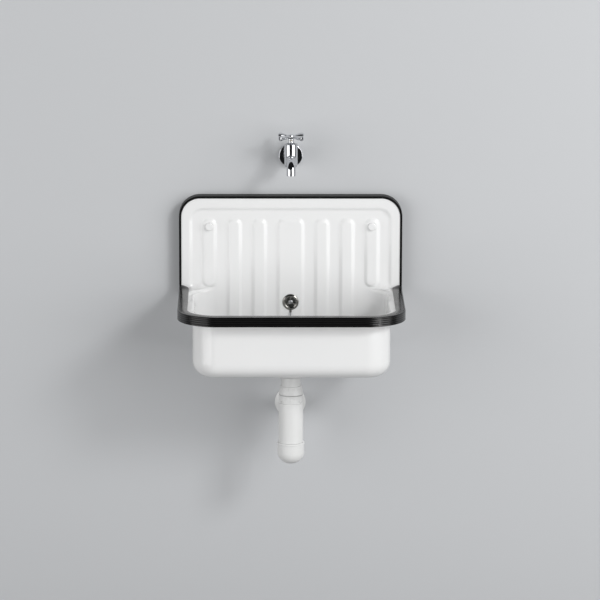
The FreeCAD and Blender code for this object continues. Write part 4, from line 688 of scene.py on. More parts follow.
@dataclass(frozen=True)
class Basin:
    """Bowl, rim ledge and ribbed splashback in one enamelled sheet."""

    half: float
    depth: float
    top: float
    ledge: float
    floor: float
    sheet: float
    standoff: float = 28.0
    recess: float = 4.0
    recess_step: float = 10.0
    edge_corner: float = 45.0
    edge_fold: float = 1.5
    panel_half: float = 227.5
    panel_top: float = 39.5
    panel_corner: float = 26.0
    rib_rise: float = 5.0
    rib_pitch: float = 28.6
    rib_flank: float = 11.0
    rib_corner: float = 14.0
    rib_top: float = 15.5
    rib_low: float = -248.5
    outer_rib_low: float = -140.5
    outer_rib: float = 186.0
    bowl_half: float = 218.5
    bowl_front: float = -313.5
    bowl_corner: float = 51.5
    lip: float = 6.0
    floor_round: float = 32.5
    cove: float = 12.0
    cove_share: float = 0.8
    cove_margin: float = 18.0
    cove_fade: float = 8.0
    corner_dip: float = 6.0
    corner_drop: float = 12.0
    dip_width: float = 0.55
    foot_fade: float = 0.8
    rim_corner: float = 85.0
    skirt_low: float = -162.1
    drain_y: float = -170.0
    drain: float = 26.0
    overflow_z: float = -176.3
    overflow: float = 15.4
    line: RoundLine = RoundLine()

    @property
    def panel_y(self) -> float:
        """Y of the sunk panel between the ribs."""
        return self.recess - self.standoff

    @property
    def middle(self) -> Point:
        """The point above the drain at the ledge's height."""
        return 0.0, self.drain_y, self.ledge

    @property
    def meeting(self) -> float:
        """X where the bowl's back corners leave the panel."""
        return self.bowl_half - self.bowl_corner

    @property
    def ribs(self) -> list[tuple[float, float, float]]:
        """The ribs: a wide one in the middle, two and a short outer one on each side.

        Returns:
            Centre, half width and lower end of each rib.
        """
        half = self.rib_pitch / 2.0
        ribs = [(0.0, self.rib_pitch, self.rib_low)]
        for side in (-1.0, 1.0):
            ribs += [(side * self.rib_pitch * step, half, self.rib_low) for step in (2.5, 4.5)]
            ribs.append((side * self.outer_rib, half, self.outer_rib_low))
        return ribs

    def ledge_gap(self, x: np.ndarray) -> np.ndarray:
        """Width of the ledge between panel and bowl at X: the lip's circle seen from its tangent."""
        radius = self.bowl_corner + self.lip
        return sagitta(radius, np.clip(np.abs(x) - self.meeting, 0.0, radius))

    def stand(self, x: np.ndarray, z: np.ndarray) -> np.ndarray:
        """Distance of the front face from the wall.

        The border's distance, less the panel's recess, plus the ribs, plus the hollow round above
        the ledge, less the fold of the outer edge. Recess and ribs change by a smooth step over
        their width, the other two by a quarter circle.

        Args:
            x: Places across.
            z: Places upwards.

        Returns:
            The distance at each place.
        """
        deep = self.skirt_low - self.depth
        panel = inside_round_box(x, z, 0.0, self.panel_half, deep, self.panel_top, self.panel_corner)
        sunk = self.recess * smooth_step(panel / self.recess_step + 0.5)
        rise = np.zeros_like(x)
        for centre, half, low in self.ribs:
            within = inside_round_box(x, z, centre, half, low, self.rib_top, self.rib_corner)
            rise = np.maximum(rise, smooth_step(within / self.rib_flank + 0.5))
        hollow = np.minimum(self.cove, self.cove_share * self.ledge_gap(x))
        hollow = hollow * smooth_step((self.half - self.cove_margin - np.abs(x)) / self.cove_fade)
        above = np.clip((z - self.ledge) / np.maximum(hollow, 0.01), 0.0, 1.0)
        hollow = hollow * sagitta(1.0, 1.0 - above)
        edge = inside_round_box(x, z, 0.0, self.half, deep, self.top, self.edge_corner)
        fold = sagitta(self.edge_fold, np.clip(self.edge_fold - edge, 0.0, self.edge_fold))
        return self.standoff - sunk + self.rib_rise * rise + hollow - fold

    def panel_columns(self) -> tuple[np.ndarray, np.ndarray]:
        """X of the panel's columns, closer where the face bends.

        Returns:
            The columns between the bowl's back corners, and those from there out to the right edge.
        """
        half = self.rib_pitch / 2.0
        flank = self.rib_flank * BEND
        edges = half * np.arange(2.0, 11.0, 2.0)
        flanks = (edges[:, None] + flank).ravel()
        between = np.concatenate([edges[:-1] + half, edges[-1] + (9.5, 16.0)])
        round_overflow = np.linspace(0.0, 20.0, 11)
        right = merged(round_overflow, flanks, between, [self.meeting])
        right = right[right <= self.meeting]
        outer_rib = [flank + self.outer_rib - half, flank + self.outer_rib + half]
        step = self.panel_half + self.recess_step * BEND
        fold = self.half - self.edge_fold * FOLD
        plain = [self.meeting, 170.0, 182.0, 186.0, 190.0, 209.0, 214.0, 219.0, 236.0, 241.0, 246.0]
        ledge = merged(*outer_rib, step, fold, plain)
        return np.concatenate([-right[:0:-1], right]), ledge[ledge >= self.meeting]

    def panel_rows(self) -> np.ndarray:
        """Z of the panel's rows, closer where the face bends.

        Returns:
            The rows from the ledge to the top edge.
        """
        step = self.panel_top + self.recess_step * BEND
        fold = self.top - self.edge_fold * FOLD
        foot = np.linspace(self.ledge, self.ledge + 18.0, 13)
        ribbed = np.linspace(self.ledge + 24.0, self.rib_top - 16.0, 15)
        rib_heads = np.linspace(self.rib_top - 12.0, self.rib_top + 6.0, 13)
        plain = [26.0, 31.0, 47.0, 52.0, 57.0, 61.5]
        return merged(foot, ribbed, rib_heads, step, fold, plain)

    def splash_patches(self) -> list[Patch]:
        """Face of the splashback and its edge turned back to the wall.

        The face is a height field over columns and rows. In the two top corners a square of the
        grid is drawn into a quarter disc (x by the root of 1 less half of z squared, and the same
        for z), so that the grid follows the round outline.

        Returns:
            The face's patch and the turned edge's patch.
        """
        bowl, ledge = self.panel_columns()
        x, z = np.meshgrid(np.concatenate([-ledge[:0:-1], bowl, ledge[1:]]), self.panel_rows())
        start_x, start_z = self.half - self.edge_corner, self.top - self.edge_corner
        u = np.clip((np.abs(x) - start_x) / self.edge_corner, 0.0, 1.0)
        v = np.clip((z - start_z) / self.edge_corner, 0.0, 1.0)
        round_x = start_x + self.edge_corner * u * np.sqrt(1.0 - v * v / 2.0)
        round_z = start_z + self.edge_corner * v * np.sqrt(1.0 - u * u / 2.0)
        corner = (u > 0.0) & (v > 0.0)
        x = np.where(corner, np.sign(x) * round_x, x)
        z = np.where(corner, round_z, z)
        points = stacked(x, -self.stand(x, z), z)
        face = Patch.grid(points).face(Facing.ALONG, (0.0, -1.0, 0.0))
        border = np.concatenate([points[:, 0], points[-1, 1:-1], points[::-1, -1]])
        hang = np.linspace(self.skirt_low, self.ledge, 5)[:-1]
        left, right = (stacked(*border[end, :2], hang) for end in (0, -1))
        border = np.concatenate([left, border, right[::-1]])
        back = np.array([1.0, 0.66, 0.33, 0.0])[:, None]
        edge = Patch.grid(stacked(border[:, 0], border[:, 1] * back, border[:, 2]))
        centre = (0.0, -self.standoff / 2.0, (self.top + self.ledge) / 2.0)
        return [face, edge.face(Facing.AWAY, centre)]

    def rim_patches(self) -> list[Patch]:
        """Ledge round the bowl and the skirt that hangs from its outer edge.

        The ledge runs straight from the lip to the outer edge at each place along the rim. Its first
        and last rows lie on the foot of the splashback, and the shift to them fades out round the
        bowl's back corners.

        Returns:
            The ledge's patch and the skirt's patch.
        """
        lip_x, lip_y = self.line.points(
            self.bowl_half + self.lip, self.bowl_front - self.lip, self.bowl_corner + self.lip,
            self.panel_y, True,
        )
        out_x, out_y = self.line.points(self.half, -self.depth, self.rim_corner, -self.standoff, False)
        _, ledge = self.panel_columns()
        share = ((ledge - self.meeting) / (self.half - self.meeting))[:, None]
        x = lip_x + (out_x - lip_x) * share
        y = lip_y + (out_y - lip_y) * share
        foot = -self.stand(ledge, np.full_like(ledge, self.ledge))
        fade = 1.0 - smooth_step(self.line.run(0, self.line.back_steps) / self.foot_fade)
        y = y + (foot - y[:, 0])[:, None] * fade
        dip = self.corner_dip * self.line.back_corner() * (1.0 - smooth_step(share / self.dip_width))
        top = Patch.grid(stacked(x, y, self.ledge - dip)).face(Facing.ALONG, (0.0, 0.0, 1.0))
        levels = np.linspace(self.ledge, self.skirt_low, 5)[:, None]
        skirt = Patch.grid(stacked(x[-1], y[-1], levels))
        return [top, skirt.face(Facing.AWAY, self.middle)]

    def bowl_patch(self) -> Patch:
        """Inside of the bowl from its lip to the drain hole.

        Each row is a closed loop: the rim's line, then back along the panel. The rows of lip and wall
        lie deeper in the back corners. Down the lip the line draws in by a quarter circle, down the
        wall it stays, round the floor's edge it draws in by a second quarter circle, and over the
        floor it runs straight to the drain's circle.

        Returns:
            The bowl's patch, looking inwards.
        """
        back_x = self.panel_columns()[0][-2:0:-1]
        wall_top, wall_low = self.ledge - self.lip, self.floor + self.floor_round
        by_overflow = np.arange(self.overflow_z - 19.0, self.overflow_z + 19.1, 2.0)
        plain = np.linspace(self.overflow_z - 24.0, self.rib_low + 14.0, 9)
        rib_ends = np.linspace(self.rib_low + 11.0, wall_low, 12)
        down = merged(by_overflow, plain, rib_ends)[::-1]
        down = down[down < wall_top - 1.0]
        turn = np.linspace(0.0, QUARTER, 7)
        bend = np.linspace(0.0, QUARTER, 12)[1:]
        drawn_in = self.floor_round * (np.cos(bend) - 1.0)
        grow = np.concatenate([self.lip * (1.0 - np.sin(turn)), np.zeros_like(down), drawn_in])
        rounded = 1.0 - np.cos(turn)
        to_floor = wall_low - self.floor_round * np.sin(bend)
        level = np.concatenate([self.ledge - self.lip * rounded, down, to_floor])
        left_over = (self.corner_dip + self.corner_drop) * (down - wall_low) / (wall_top - wall_low)
        dip = self.corner_dip + self.corner_drop * rounded
        sunk = np.concatenate([dip, left_over, np.zeros_like(bend)])
        deeper = np.concatenate([self.line.back_corner(), np.zeros_like(back_x)])
        loops = []
        for out, z, low in zip(grow, level, sunk):
            back = self.panel_y + min(out, 0.0)
            x, y = self.line.points(
                self.bowl_half + out, self.bowl_front - out, self.bowl_corner + out, back, True
            )
            behind = np.full_like(back_x, back)
            if out >= 0.0:
                behind = -self.stand(back_x, np.full_like(back_x, z))
            loop_x, loop_y = np.concatenate([x, back_x]), np.concatenate([y, behind])
            loops.append(stacked(loop_x, loop_y, z - low * deeper))
        outer = loops[-1]
        angle = np.arctan2(outer[:, 1] - self.drain_y, outer[:, 0])
        hole_x, hole_y = np.cos(angle) * self.drain, self.drain_y + np.sin(angle) * self.drain
        share = np.array([0.1, 0.24, 0.4, 0.56, 0.72, 0.86, 1.0])[:, None, None]
        floor = outer + (stacked(hole_x, hole_y, outer[:, 2]) - outer) * share
        patch = Patch.grid(np.concatenate([np.stack(loops), floor]), closed=True)
        x, y, z = patch.points[patch.quads].mean(axis=1).T
        on_panel = y > self.panel_y - 2.0 * self.rib_rise
        patch.quads = patch.quads[~(on_panel & (np.hypot(x, z - self.overflow_z) < self.overflow))]
        return patch.face(Facing.TOWARDS, self.middle)

    def build(self, palette: Palette) -> None:
        """Make the sheet, give it its thickness and dress it.

        Args:
            palette: The materials.
        """
        sheet = join_patches(self.splash_patches() + self.rim_patches() + [self.bowl_patch()])
        piece = mesh_piece("enamelled_basin", sheet, weld=0.05, sharp=50.0, outward=False)
        wall = piece.modifiers.new("sheet", "SOLIDIFY")
        wall.thickness = self.sheet * MM
        wall.offset = -1.0
        wall.use_even_offset = False
        palette.dress(piece, Finish.ENAMEL)
        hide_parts("basin")
        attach(piece, "sink")


@dataclass(frozen=True)
class RimGuard:
    """Black guard on the rim: crowned top, ridged front and a hook under the steel."""

    half: float
    depth: float
    top: float
    low: float
    back: float
    wall: float = 2.95
    width: float = 22.5
    corner: float = 88.0
    edge_round: float = 3.0
    inner_round: float = 1.3
    hem: float = 0.8
    hook: float = 8.0
    hook_wall: float = 2.2
    hook_edge: float = 0.5
    ridges: int = 3
    ridge_depth: float = 0.6
    ridge_fade: float = 6.0
    crown: float = 0.5
    end_corner: float = 14.0
    end_rise: float = 6.0
    end_run: float = 26.0
    end_slope: float = 0.7
    end_closeness: float = 1.7
    line: RoundLine = RoundLine(14, 16, 26, 40)

    def profile(self) -> np.ndarray:
        """Closed section as inward offset and height.

        The front's offset is a row of shallow waves (a raised cosine in height, kept off both ends),
        the top a shallow parabola between two rounds, and the rest runs back along the steel.

        Returns:
            Rows of inward offset and height.
        """
        height = np.linspace(self.low + self.hem, self.top - self.edge_round, 49)
        along = (height - height[0]) / (height[-1] - height[0])
        waves = 0.5 - 0.5 * np.cos(2.0 * np.pi * (self.ridges + 1) * along)
        ends = smooth_step(along * self.ridge_fade) * smooth_step((1.0 - along) * self.ridge_fade)
        front = stacked(self.ridge_depth * waves * ends, height)
        shoulder = arc((self.edge_round, self.top - self.edge_round), self.edge_round, 180.0, 92.0, 7)
        shoulder[:, 1] -= self.crown * np.linspace(0.0, 0.7, len(shoulder)) ** 2
        reach = np.linspace(self.edge_round + 0.6, self.width - self.inner_round - 0.4, 9)
        middle = (self.edge_round + self.width) / 2.0
        crown = stacked(reach, self.top - self.crown * ((reach - middle) / (self.width - middle)) ** 2)
        inner_top = self.top - self.crown - self.inner_round
        inner = arc((self.width - self.inner_round, inner_top), self.inner_round, 85.0, 0.0, 5)
        under, lip = self.top - self.wall, self.low + self.hook_wall
        rest = [
            (self.width, under), (self.wall, under), (self.wall, lip), (self.hook, lip),
            (self.hook, self.low + self.hook_edge), (self.hook - self.hook_edge, self.low),
            (self.hem, self.low),
        ]
        return np.concatenate([front, shoulder, crown, inner, rest])

    def build(self, palette: Palette) -> None:
        """Carry the section along the rim's line, round its inner end corners and dress it.

        Each place of the section follows its own offset line. The first and last runs start later
        where the offset lies in the round end corner, by the circle's sagitta, and their upper part
        lifts a little towards the splashback.

        Args:
            palette: The materials.
        """
        steps = self.line.back_steps + self.line.side_steps
        spread = np.linspace(0.0, 1.0, steps + 1) ** self.end_closeness
        columns = []
        for inward, height in self.profile():
            x, y = self.line.points(
                self.half - inward, inward - self.depth, self.corner - inward, self.back, False
            )
            later = sagitta(self.end_corner, max(inward - (self.width - self.end_corner), 0.0))
            straight = self.back - later + spread * (self.corner - self.depth - self.back + later)
            y[: steps + 1] = straight
            y[-steps - 1 :] = straight[::-1]
            upper = smooth_step((height - self.low) / (self.top - self.low))
            outer = 1.0 - self.end_slope * smooth_step(inward / self.width)
            lift = self.end_rise * upper * outer * (1.0 - smooth_step((self.back - y) / self.end_run))
            columns.append(stacked(x, y, height + lift))
        piece = swept_piece("rim_guard_moulding", np.stack(columns), weld=0.02)
        palette.dress(piece, Finish.EDGING)
        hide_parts("rim_guard")
        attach(piece, "sink")


@dataclass(frozen=True)
class SplashTrim:
    """Black edging round the splashback, turned back to the wall."""

    half: float
    top: float
    low: float
    rim: float
    face: float
    border: float = 28.0
    corner: float = 48.0
    wall: float = 2.95
    lip: float = 5.2
    edge_round: float = 1.3
    lip_round: float = 0.5
    gap: float = 0.05
    side_steps: int = 20
    corner_steps: int = 22
    top_steps: int = 24

    def profile(self) -> np.ndarray:
        """Closed section: skirt, round edge, lip and back along the steel.

        Returns:
            Rows of inward offset and Y.
        """
        edge_y, lip_x = self.edge_round - self.face, self.lip - self.lip_round
        steel = -self.border - self.gap
        outer = stacked(0.0, np.linspace(0.0, edge_y, 5))
        edge = arc((self.edge_round, edge_y), self.edge_round, 180.0, 270.0, 6)[1:]
        tip = arc((lip_x, self.lip_round - self.face), self.lip_round, 270.0, 360.0, 3)
        rest = [(self.lip, steel), (self.wall, steel), (self.wall, 0.0)]
        return np.concatenate([outer, edge, tip, rest])

    def build(self, palette: Palette) -> None:
        """Carry the section up one side, over the top and down the other, and dress it.

        The line is straight, a quarter circle, straight, a quarter circle and straight, each place of
        the section on its own offset line. Beside the rim guard the section has no lip and ends at the
        border's face.

        Args:
            palette: The materials.
        """
        inward, out = self.profile().T[:, :, None]
        inner_x, inner_z = self.half - self.corner, self.top - self.corner
        above_rim = np.linspace(self.rim + self.gap, inner_z, self.side_steps + 1)
        side = np.concatenate([np.linspace(self.low, self.rim, 5), above_rim])
        turn = np.linspace(0.0, QUARTER, self.corner_steps + 1)[1:]
        over = np.linspace(-inner_x, 0.0, self.top_steps // 2 + 1)[1:]
        radius = self.corner - inward
        stretches = [
            stacked(inward - self.half, side),
            stacked(-inner_x - radius * np.cos(turn), inner_z + radius * np.sin(turn)),
            stacked(over, self.top - inward),
        ]
        x, z = np.moveaxis(np.concatenate(stretches, axis=1), -1, 0)
        beside = z < self.rim + self.gap / 2.0
        x = np.where(beside, np.minimum(x, self.wall - self.half), x)
        y = np.where(beside, np.maximum(out, -self.border), out)
        left = stacked(x, y, z)
        grid = np.concatenate([left, left[:, -2::-1] * (-1.0, 1.0, 1.0)], axis=1)
        piece = swept_piece("splash_edging", grid, weld=0.01)
        palette.dress(piece, Finish.EDGING, "splash_edge_trim")
        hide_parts("splash_edge_trim")
        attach(piece, "sink")


@dataclass(frozen=True)
class BallChain:
    """Slack ball chain from the overflow's lug to the plug, its route in metres."""

    route: tuple[Point, ...] = (
        (0.0, -0.0314, -0.2058),
        (0.0, -0.0314, -0.2278),
        (-0.0008, -0.0339, -0.2508),
        (-0.003, -0.0444, -0.2736),
        (-0.001, -0.0604, -0.2871),
        (0.008, -0.0814, -0.2896),
        (0.024, -0.1014, -0.2896),
        (0.034, -0.1234, -0.2892),
        (0.01639, -0.14337, -0.2822),
        (0.008, -0.157, -0.2822),
    )
    ball: float = 1.6
    pitch: float = 4.1
    link: float = 0.55
    # Places of a link between two balls' centres and its thickness there, as shares.
    link_form: tuple[tuple[float, float], ...] = ((0.26, 0.0), (0.28, 1.0), (0.72, 1.0), (0.74, 0.0))
    ball_steps: tuple[int, int] = (10, 7)
    link_steps: int = 6

    def centre_line(self) -> np.ndarray:
        """Points of the route's smooth spline, read from a curve without thickness.

        Returns:
            Rows of X, Y and Z in metres.
        """
        curve = bpy.data.curves.new("chain_route", "CURVE")
        curve.dimensions = "3D"
        spline = curve.splines.new("NURBS")
        spline.points.add(len(self.route) - 1)
        spline.points.foreach_set("co", np.c_[np.array(self.route), np.ones(len(self.route))].ravel())
        spline.order_u = 3
        spline.use_endpoint_u = True
        spline.resolution_u = 24
        holder = bpy.data.objects.new("chain_route", curve)
        line = bpy.data.meshes.new_from_object(holder)
        flat = np.empty(len(line.vertices) * 3)
        line.vertices.foreach_get("co", flat)
        bpy.data.objects.remove(holder)
        bpy.data.meshes.remove(line)
        bpy.data.curves.remove(curve)
        return flat.reshape(-1, 3)

    def build(self, palette: Palette) -> None:
        """Set balls at equal steps along the line with a thin link between each two, and dress them.

        A ball is the centre plus the radius times (sin v cos u, sin v sin u, cos v). A link is a ring
        of places round the line at each of its two ends, drawn in to a point inside the ball.

        Args:
            palette: The materials.
        """
        line = self.centre_line()
        along = np.concatenate([[0.0], np.cumsum(np.linalg.norm(np.diff(line, axis=0), axis=1))])
        length = float(along[-1])
        count = int(round((length / MM - 2.0 * self.ball) / self.pitch)) + 1
        places = np.linspace(self.ball * MM, length - self.ball * MM, count)
        centres = stacked(*(np.interp(places, along, axis) for axis in line.T)) / MM
        u = round_angles(self.ball_steps[0])
        v = np.linspace(0.0, np.pi, self.ball_steps[1] + 1)[:, None]
        shell = stacked(np.sin(v) * np.cos(u), np.sin(v) * np.sin(u), np.cos(v))
        balls = Patch.grid(centres[:, None, None] + self.ball * shell, closed=True)
        step = np.diff(centres, axis=0)
        ahead = step / np.linalg.norm(step, axis=1, keepdims=True)
        side = np.cross(ahead, (1.0, 0.0, 0.0))
        side /= np.linalg.norm(side, axis=1, keepdims=True)
        up = np.cross(ahead, side)
        turn = round_angles(self.link_steps)[:, None]
        ring = self.link * (np.cos(turn) * side[:, None] + np.sin(turn) * up[:, None])
        share, wide = np.array(self.link_form).T[..., None, None]
        ends = centres[:-1, None, None] + share * step[:, None, None] + wide * ring[:, None]
        chain = join_patches([balls, Patch.grid(ends, closed=True)])
        piece = mesh_piece("plug_ball_chain", chain, weld=0.005, sharp=40.0)
        palette.dress(piece, Finish.CHROME)
        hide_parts("plug_chain")
        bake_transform(piece)
        LOG.info("chain: %.1f mm, %d balls", length / MM, count)


@dataclass(frozen=True)
class TapPlate:
    """Flat round plate that the tap's tail comes through."""

    radius: float
    height: float
    z: float
    bore: float = 12.1
    bore_edge: float = 0.5
    edge: float = 1.5
    steps: int = 96

    def build(self, palette: Palette) -> None:
        """Turn the plate's section about the tail: flat face, round edge and back to the wall.

        Args:
            palette: The materials.
        """
        start = [(self.bore, 0.0), (self.bore, self.height - self.bore_edge)]
        face = stacked(np.linspace(self.bore + self.bore_edge, self.radius - self.edge, 7), self.height)
        edge = arc((self.radius - self.edge, self.height - self.edge), self.edge, 80.0, 0.0, 7)
        section = np.concatenate([start, face, edge, [(self.radius, 0.0)]])
        plate = turned_ring(section, (0.0, 0.0, self.z), (0.0, -1.0, 0.0), self.steps)
        piece = mesh_piece("tap_wall_plate", plate)
        palette.dress(piece, Finish.CHROME)
        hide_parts("tap_wall_rosette")
        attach(piece, "sink")


@dataclass(frozen=True)
class CrossHandle:
    """Four flared arms on a small hub, with a flat cover disc."""

    y: float
    low: float
    reach: float = 36.5
    rise: float = 8.0
    start: float = 5.0
    root: float = 3.4
    tip: float = 5.5
    tip_round: float = 1.1
    flare_start: float = 9.0
    flare_bend: float = 0.8
    bore: float = 4.1
    cover: float = 5.6
    cover_gap: float = 0.15
    arms: int = 4
    steps: int = 32
    hub_steps: int = 64
    cover_steps: int = 48

    def arm_patch(self) -> Patch:
        """The arms: radius over length turned about each arm's line, closed at both ends.

        The radius grows from root to tip by a smooth step, then turns in over a small round to a
        slightly domed end.

        Returns:
            All the arms in one patch.
        """
        length = np.linspace(self.start, self.reach - self.tip_round, 22)
        flare = smooth_step((length - self.flare_start) / (self.reach - self.flare_start))
        thick = self.root + (self.tip - self.root) * flare**self.flare_bend
        end = (self.reach - self.tip_round, thick[-1] - self.tip_round)
        edge = arc(end, self.tip_round, 78.0, 6.0, 5)
        dome = [(self.reach + 0.25, thick[-1] * 0.5), (self.reach + 0.3, 0.0)]
        line = np.concatenate([[(self.start, 0.0)], stacked(length, thick), edge, dome])[:, None]
        angle = np.pi / 4.0 + round_angles(self.arms)
        ahead = stacked(np.cos(angle), np.sin(angle), 0.0)[:, None, None]
        side = stacked(-np.sin(angle), np.cos(angle), 0.0)[:, None, None]
        turn = round_angles(self.steps)[:, None]
        around = np.cos(turn) * side + np.sin(turn) * np.array((0.0, 0.0, 1.0))
        centre = np.array((0.0, self.y, self.low + self.rise))
        return Patch.grid(centre + line[..., :1] * ahead + line[..., 1:] * around, closed=True)

    def upright(self, section: list[tuple[float, float]], steps: int) -> Patch:
        """Section of radius and height turned about the spindle."""
        return turned_ring(np.array(section), (0.0, self.y, self.low), (0.0, 0.0, 1.0), steps)

    def build(self, palette: Palette) -> None:
        """Make the handle with a waisted hub, hollow for the spindle, and its cover disc, and dress them.

        Hub and disc are sections of radius and height turned about the spindle.

        Args:
            palette: The materials.
        """
        seat = self.cover + self.cover_gap
        hub = self.upright([
            (self.bore, 0.0), (6.2, 0.0), (6.8, 0.3), (7.0, 0.9), (6.9, 2.0), (6.6, 3.2), (6.8, 4.6),
            (7.4, 5.8), (7.7, 7.0), (7.7, 8.4), (7.5, 9.8), (7.1, 11.2), (6.8, 11.9), (6.3, 12.3),
            (seat, 12.35), (seat, 11.5), (self.bore, 11.5),
        ], self.hub_steps)
        disc = self.upright([
            (0.0, 11.6), (self.cover, 11.6), (self.cover, 12.4), (self.cover - 0.4, 12.75),
            (self.cover * 0.5, 13.0), (0.0, 13.1),
        ], self.cover_steps)
        handle = mesh_piece("cross_handle", join_patches([self.arm_patch(), hub]))
        cover = mesh_piece("handle_cover_disc", disc)
        for piece, node in ((handle, "tap_handle"), (cover, "tap_handle_cap")):
            palette.dress(piece, Finish.CHROME)
            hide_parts(node)
            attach(piece, "handle")


@dataclass(frozen=True)
class CollarNut:
    """Union nut on the trap's bottle, with grip flutes and four notches in its lower edge."""

    radius: float
    low: float
    high: float
    y: float
    bore: float = 24.3
    kept_wall: float = 0.6
    edge: float = 1.2
    flutes: int = 28
    flute_depth: float = 0.45
    band_low: float = 8.0
    band_high: float = 2.5
    band_fade: float = 1.5
    notch_depth: float = 3.4
    notch_height: float = 6.5
    notch_width: float = 11.0
    notch_turn: float = 52.0
    notch_side: float = 3.0
    notch_top: float = 0.8
    steps: int = 336

    def build(self, palette: Palette) -> None:
        """Turn the nut's section, then draw its outside in at the flutes and notches.

        The radius is the section's, less the flutes (a cosine round the nut, in its middle band),
        less each notch (a smooth step in angle times one in height).

        Args:
            palette: The materials.
        """
        rows = np.linspace(self.low + self.edge, self.high - self.edge, 26)
        lower = arc((self.radius - self.edge, self.low + self.edge), self.edge, 270.0, 350.0, 4)
        upper = arc((self.radius - self.edge, self.high - self.edge), self.edge, 10.0, 90.0, 4)
        first, last = (self.bore, self.low), (self.bore, self.high)
        section = np.concatenate([[first], lower, stacked(self.radius, rows), upper, [last, first]])
        radius, level = section.T[:, :, None]
        turn = round_angles(self.steps)
        outer = smooth_step(radius - self.bore - self.kept_wall)
        band = smooth_step((level - self.low - self.band_low) / self.band_fade)
        band = band * smooth_step((self.high - self.band_high - level) / self.band_fade)
        flute = 0.5 - 0.5 * np.cos(self.flutes * turn)
        front_and_back = np.array([[270.0], [90.0]])
        places = np.radians(front_and_back + (-self.notch_turn, self.notch_turn)).ravel()
        apart = np.abs(np.angle(np.exp(1j * (turn[:, None] - places)))).min(axis=1)
        notch = smooth_step((np.radians(self.notch_width) - apart) / np.radians(self.notch_side))
        notch = notch * smooth_step((self.low + self.notch_height - level) / self.notch_top)
        drawn = radius - outer * (self.flute_depth * flute * band + self.notch_depth * notch)
        points = stacked(drawn * np.cos(turn), self.y + drawn * np.sin(turn), level)
        piece = mesh_piece("trap_union_nut", Patch.grid(points, closed=True), sharp=30.0)
        palette.dress(piece, Finish.PLASTIC)
        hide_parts("trap_collar_nut")
        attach(piece, "sink")


@dataclass(frozen=True)
class Lamp:
    """Soft rectangular lamp: its place and size in metres and its power in watts."""

    name: str
    place: Point
    size: tuple[float, float]
    power: float

    def build(self, aim: Point) -> None:
        """Set the lamp up, pointing at a place.

        Args:
            aim: The place.
        """
        data = bpy.data.lights.new(self.name, "AREA")
        data.shape = "RECTANGLE"
        data.size, data.size_y = self.size
        data.energy = self.power
        lamp = bpy.data.objects.new(self.name, data)
        lamp.location = self.place
        lamp.rotation_euler = (Vector(aim) - Vector(self.place)).to_track_quat("-Z", "Y").to_euler()
        bpy.context.scene.collection.objects.link(lamp)


